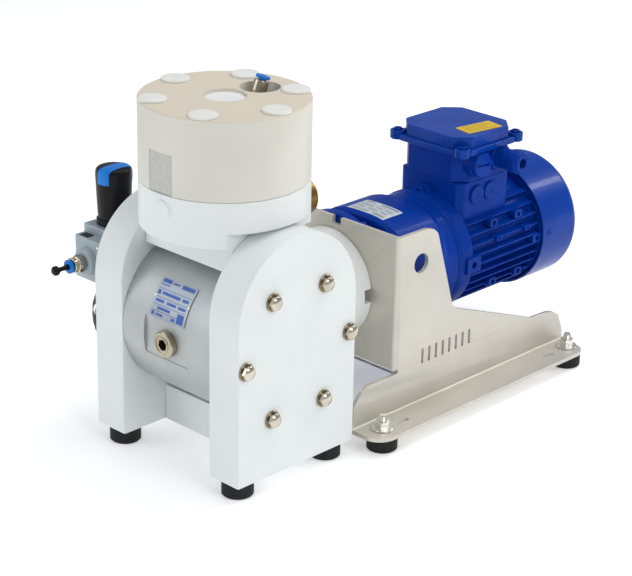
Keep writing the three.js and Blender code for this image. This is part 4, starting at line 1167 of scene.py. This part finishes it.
yellow = slab("z", eased([(-11, -22), (11, -22), (11, 22), (-11, 22)], 1.0), 240.02, 240.32)
yellow.data.transform(label_turn)
show(yellow, "yellow_label", label_yellow, "frame", ())
lines = merged("yellow_label_bars", [slab("z", [(x0, y0), (x0 + 0.7, y0), (x0 + 0.7, y1), (x0, y1)], 240.34,
                                          240.40) for x0, y0, y1 in (
    (-7.5, -17, 12), (-3, -17, 17), (1.5, -17, 8), (6, -17, 17))])
lines.data.transform(label_turn)
show(lines, "yellow_label_bars", label_dark, "frame", ())

# %% [markdown]
# ## Air filter-regulator
# A small regulator hangs at the left. It has a die-cast column with a lower block in front, a tall black knob with
# a blue stripe over its crown, a black filter bowl under it, and a push-in fitting with a blanking pin. The knob
# is a little square at the grip, so its rings are superellipses that grow rounder towards the top. The stripe is
# the same shape made slightly larger, hollowed, and cut to a narrow band.

# %% Regulator blocks
REG_X, REG_Y = -126.0, -25.0
column = block(REG_X - 20, REG_X + 20, REG_Y - 22, REG_Y + 20, 132, 184, 1.6, 0.8)
pad = block(REG_X + 19, -OUTER_X - 0.3, REG_Y - 14, REG_Y + 14, 134, 160, 1.0)
branch = block(REG_X - 18.5, REG_X + 19, REG_Y - 34, REG_Y - 19, 134, 176, 1.4, 0.8)
boss = turned("y", (REG_X, 0, 154), [(7, REG_Y - 41), (11.5, REG_Y - 41), (12.8, REG_Y - 39.5), (14, REG_Y - 33),
                                     (7, REG_Y - 33)], 72, 0.4)
port = rod("y", (REG_X, 0, 154), 7, REG_Y - 50, REG_Y - 28)
shallow = block(REG_X - 14, REG_X - 2, REG_Y - 32, REG_Y - 23.4, 174.6, 182, 1.0)
screw_hole = rod("y", (REG_X + 14.5, 0, 170.4), 1.8, REG_Y - 40, REG_Y - 31, 24)
body_made = machined(column, adds=[pad, branch], cuts=[port, shallow, screw_hole])
body_made = machined(body_made, adds=[boss])
show(body_made, "regulator_casting", cast_grey, "frame", ["regulator_body"], bevel=0.3)
blank_cap = block(REG_X - 13.7, REG_X - 2.3, REG_Y - 31.7, REG_Y - 23.7, 174.7, 176.6, 1.0, 0.4)
show(blank_cap, "port_blank", black_plastic, "frame", ())
small = turned("y", (REG_X + 14.5, 0, 170.4), [(0, REG_Y - 34.6), (1.5, REG_Y - 34.6), (1.6, REG_Y - 31.4),
                                               (0, REG_Y - 31.4)], 24, 0.2)
show(small, "block_screw", bright_steel, "frame", ())

# %% Knob, stripe and filter bowl
def knob_ring(bm, half, z, power, flute):
    ring = []
    for k in range(ROUND):
        a = math.tau * k / ROUND
        c, s = math.cos(a), math.sin(a)
        r = half / (abs(c) ** power + abs(s) ** power) ** (1 / power)
        r *= 1 + flute * math.cos(24 * a)
        ring.append(bm.verts.new((REG_X + r * c, REG_Y + r * s, z)))
    return ring


def knob_solid(rows):
    bm = bmesh.new()
    rings = [knob_ring(bm, half, z, power, flute) for half, z, power, flute in rows]
    for a, b in zip(rings, rings[1:]):
        for k in range(ROUND):
            n = (k + 1) % ROUND
            bm.faces.new((a[k], a[n], b[n], b[k]))
    bm.faces.new(rings[0])
    bm.faces.new(rings[-1])
    return blank(bm)


profile = [(16.8, 184.3, 2, 0), (17.2, 184.8, 2, 0), (17.2, 189.4, 2, 0), (16.7, 189.9, 2, 0), (15.5, 190.6, 2, 0),
           (15.6, 192.0, 2.02, 0),
           (15.9, 195.0, 2.05, 0.003), (16.6, 212, 2.07, 0.004), (17.2, 228, 2.08, 0.002), (17.4, 233, 2.08, 0),
           (17.2, 236.2, 2.06, 0),
           (16.6, 238.2, 2.04, 0), (15.2, 239.6, 2.02, 0), (12.4, 240.5, 2, 0), (9, 240.9, 2, 0), (5, 241.1, 2, 0),
           (1.5, 241.2, 2, 0)]
show(knob_solid(profile), "knob_moulding", black_plastic, "knob", ["regulator_knob"])
crown = [(17.12, 226.0, 2.08, 0)] + [row for row in profile if row[1] > 227]


def shell_rows(out, up):
    return [(half + out, z + (up if z > 237 else 0), power, 0) for half, z, power, _ in crown]


stripe = machined(knob_solid(shell_rows(0.4, 0.3)), cuts=[knob_solid(shell_rows(0.06, 0.04))],
                  keeps=[block(REG_X - 2.6, REG_X + 10.0, REG_Y - 24, REG_Y + 24, 226.2, 250)])
show(stripe, "knob_stripe", blue_plastic, "knob", ())
bowl = turned("z", (REG_X, REG_Y - 4.5, 0), [(0, 70), (10, 70, 3), (17, 74, 5), (19.5, 84, 6), (20, 92, 6),
                                             (19.4, 103, 5), (16.5, 112, 3),
                                             (15.5, 116, 3), (15.5, 131.7), (0, 131.7)], 96, 0.6)
show(bowl, "filter_bowl_moulding", black_plastic, "frame", ["filter_bowl"])

# %% Push-in fitting and its blanking pin
FIT_Y = REG_Y - 41.3
seat = (REG_X, 0, 154)
fit_nut = machined(slab("y", eased([(x + REG_X, z + 154) for x, z in polygon(6, 15)], 0.5), FIT_Y - 6, FIT_Y), keeps=[
    turned("y", seat, [(0, FIT_Y - 6), (7.7, FIT_Y - 6), (8.5, FIT_Y - 5.2), (8.5, FIT_Y - 0.8), (7.7, FIT_Y),
                       (0, FIT_Y)], 72)])
barrel = turned("y", seat, [(0, FIT_Y - 13), (7.0, FIT_Y - 13), (7.6, FIT_Y - 12.4), (7.6, FIT_Y - 9.6),
                            (6.7, FIT_Y - 9.0), (6.7, FIT_Y - 8.0),
                            (7.6, FIT_Y - 7.4), (7.6, FIT_Y - 5), (0, FIT_Y - 5)], 72)
stem = turned("y", seat, [(0, FIT_Y - 3), (6.6, FIT_Y - 3), (6.6, FIT_Y + 9), (0, FIT_Y + 9)], 48)
bore = rod("y", seat, 4.2, FIT_Y - 20, FIT_Y + 5)
fit_hexagon = machined(fit_nut, cuts=[rod("y", seat, 7.0, FIT_Y - 20, FIT_Y - 4.6),
                                      rod("y", seat, 4.2, FIT_Y - 5, FIT_Y + 5)])
show(fit_hexagon, "fitting_hexagon", dark_steel, "frame", (), bevel=0.15)
fit_made = machined(barrel, adds=[stem], cuts=[bore])
nickel = surface("nickelled_brass", (226, 214, 190), (198, 182, 150), (0.14, 0.26), metal=1.0, patch=160, grain=2400,
                 depth=0.00002)[0]
show(fit_made, "push_in_fitting", nickel, "frame", ["regulator_fitting"], bevel=0.15)
collar = turned("y", seat, [(3, FIT_Y - 17), (6.0, FIT_Y - 17), (6.8, FIT_Y - 16.2), (6.4, FIT_Y - 14.3),
                            (3.8, FIT_Y - 14.3), (3.8, FIT_Y - 6), (3, FIT_Y - 6)], 64)
show(collar, "push_in_ring", blue_plastic, "regulator_ring", ["regulator_release_ring"])
pin = turned("y", seat, [(0, FIT_Y - 34.4), (3.2, FIT_Y - 34.4), (4.6, FIT_Y - 33), (4.6, FIT_Y - 30),
                         (3.4, FIT_Y - 28.6), (2.5, FIT_Y - 28.0),
                         (2.2, FIT_Y - 26), (2.2, FIT_Y - 22), (2.6, FIT_Y - 19), (2.6, FIT_Y - 2.6),
                         (2.2, FIT_Y - 2), (0, FIT_Y - 2)], 48)
show(pin, "blanking_pin_moulding", black_plastic, "pin", ["blanking_pin"])

# %% [markdown]
# ## The moving inside
# None of this shows at rest, but it is what the joints move: one shaft with a diaphragm at each end, four balls,
# and a drive shaft with an eccentric. They are turned pieces, a hair inside their CAD shapes.

# %% Shafts, diaphragms and balls
rod_made = turned("x", AXIS, [(0, -56), (12, -56), (12, 56), (0, 56)], 96, 0.6)
show(rod_made, "push_rod", dark_steel, "diaphragms", ["diaphragm_shaft"])
for word, side in (("right", 1), ("left", -1)):
    profile = [(0, 56.3), (44, 57), (45.5, 59), (44, 61.4), (34, 61.2), (30, 60.4), (26, 60.4), (22, 61.4),
               (16, 61.8), (12, 64), (0, 64.5)]
    disc = turned("x", AXIS, [(r, side * h) for r, h in profile], 96)
    show(disc, f"diaphragm_{word}_disc", diaphragm_plastic, "diaphragms", [f"diaphragm_{word}"])
drive = turned("y", AXIS, [(0, 22), (10, 22), (10, 30), (14.5, 30), (14.5, 40), (10, 40), (10, 164), (0, 164)], 72,
               0.4)
drive = machined(drive, adds=[turned("y", (5, 0, AXIS_Z), [(0, 15), (12, 15), (12, 23), (0, 23)], 72, 0.4)])
show(drive, "drive_shaft_turned", dark_steel, "drive", ["drive_shaft"])
for word, side in (("right", 1), ("left", -1)):
    for kind in ("inlet", "outlet"):
        low, high = (in_pump(corner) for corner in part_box(f"valve_ball_{word}_{kind}"))
        middle = (low + high) / 2
        meridian = [(9 * math.sin(math.pi * k / 24), -9 * math.cos(math.pi * k / 24)) for k in range(25)]
        meridian[0], meridian[-1] = (0, -9), (0, 9)
        show(turned("z", middle, meridian, 48), f"ball_{word}_{kind}_turned", ball_plastic, f"ball_{word}_{kind}",
             [f"valve_ball_{word}_{kind}"])
print("pieces", len(shown), "triangles", sum(len(o.data.loop_triangles) or len(o.data.polygons) for o in shown))

# %% [markdown]
# ## Floor, light and camera
# A pale floor, a bright even sky and three large soft lamps give the flat, clean light of a catalogue picture.
# The view transform is the plain one, so white plastic stays white and enamel keeps its strong blue. The camera
# stands to the right and in front of the pump, a little above it, with a long lens, and leans by one degree.

# %% Floor and light
floor_bm = bmesh.new()
bmesh.ops.create_grid(floor_bm, x_segments=8, y_segments=8, size=6.0)
floor_mesh = bpy.data.meshes.new("studio_floor")
floor_bm.to_mesh(floor_mesh)
floor_bm.free()
studio_floor = bpy.data.objects.new("studio_floor", floor_mesh)
bpy.context.scene.collection.objects.link(studio_floor)
pale_floor, tree, shader, colour = surface("pale_floor", (250, 250, 250), (247, 247, 247), (0.7, 0.8), patch=0.6,
                                           grain=60,
                                           depth=0.00002, specular=0.1)
shader.inputs["Emission Color"].default_value = (1.0, 1.0, 1.0, 1.0)
shader.inputs["Emission Strength"].default_value = 0.32
floor_mesh.materials.append(pale_floor)

sky = bpy.data.worlds.new("studio_sky")
sky.use_nodes = True
backdrop = next(n for n in sky.node_tree.nodes if n.type == "BACKGROUND")
backdrop.inputs["Color"].default_value = (0.93, 0.965, 1.0, 1.0)
backdrop.inputs["Strength"].default_value = 0.4
bpy.context.scene.world = sky


def lamp(name, place, target, size, power, colour=(1, 1, 1)):
    light = bpy.data.lights.new(name, "AREA")
    light.shape, light.size, light.size_y = "RECTANGLE", size[0], size[1]
    light.energy, light.color = power, colour
    made = bpy.data.objects.new(name, light)
    made.location = place
    made.rotation_euler = (Vector(target) - Vector(place)).to_track_quat("-Z", "Y").to_euler()
    bpy.context.scene.collection.objects.link(made)
    return made


lamp("key_softbox", (2.6, -0.4, 2.2), (0, 0.1, 0.15), (1.6, 1.6), 25, (1.0, 0.985, 0.955))
lamp("fill_softbox", (-1.6, -2.4, 1.5), (0, 0, 0.15), (2.0, 2.0), 23, (0.95, 0.98, 1.0))
lamp("top_softbox", (0.2, 0.6, 2.6), (0, 0.15, 0.1), (2.0, 2.0), 20)
lamp("strip_light", (0.6, 1.7, 1.6), (0, 0.24, 0.13), (0.22, 1.3), 13)
bpy.context.scene.view_settings.view_transform = "Standard"

# %% Camera
back = Vector((0.6456, -0.6636, 0.3778)).normalized()
level_right = Vector((0.717, 0.697, 0)).normalized()
level_up = Vector((-0.2633, 0.2709, 0.9258)).normalized()
roll = math.radians(1.03)
right = level_right * math.cos(roll) + level_up * math.sin(roll)
up = level_up * math.cos(roll) - level_right * math.sin(roll)
lens = bpy.data.cameras.new("main_camera")
lens.lens, lens.sensor_width, lens.shift_x = 116.77, 36.0, 0.01367
lens.clip_start, lens.clip_end = 0.1, 30.0
camera = bpy.data.objects.new("main_camera", lens)
camera.matrix_world = Matrix(((right.x, up.x, back.x, 1.29098), (right.y, up.y, back.y, -1.38254),
                              (right.z, up.z, back.z, 0.88219), (0, 0, 0, 1)))
bpy.context.scene.collection.objects.link(camera)
bpy.context.scene.camera = camera
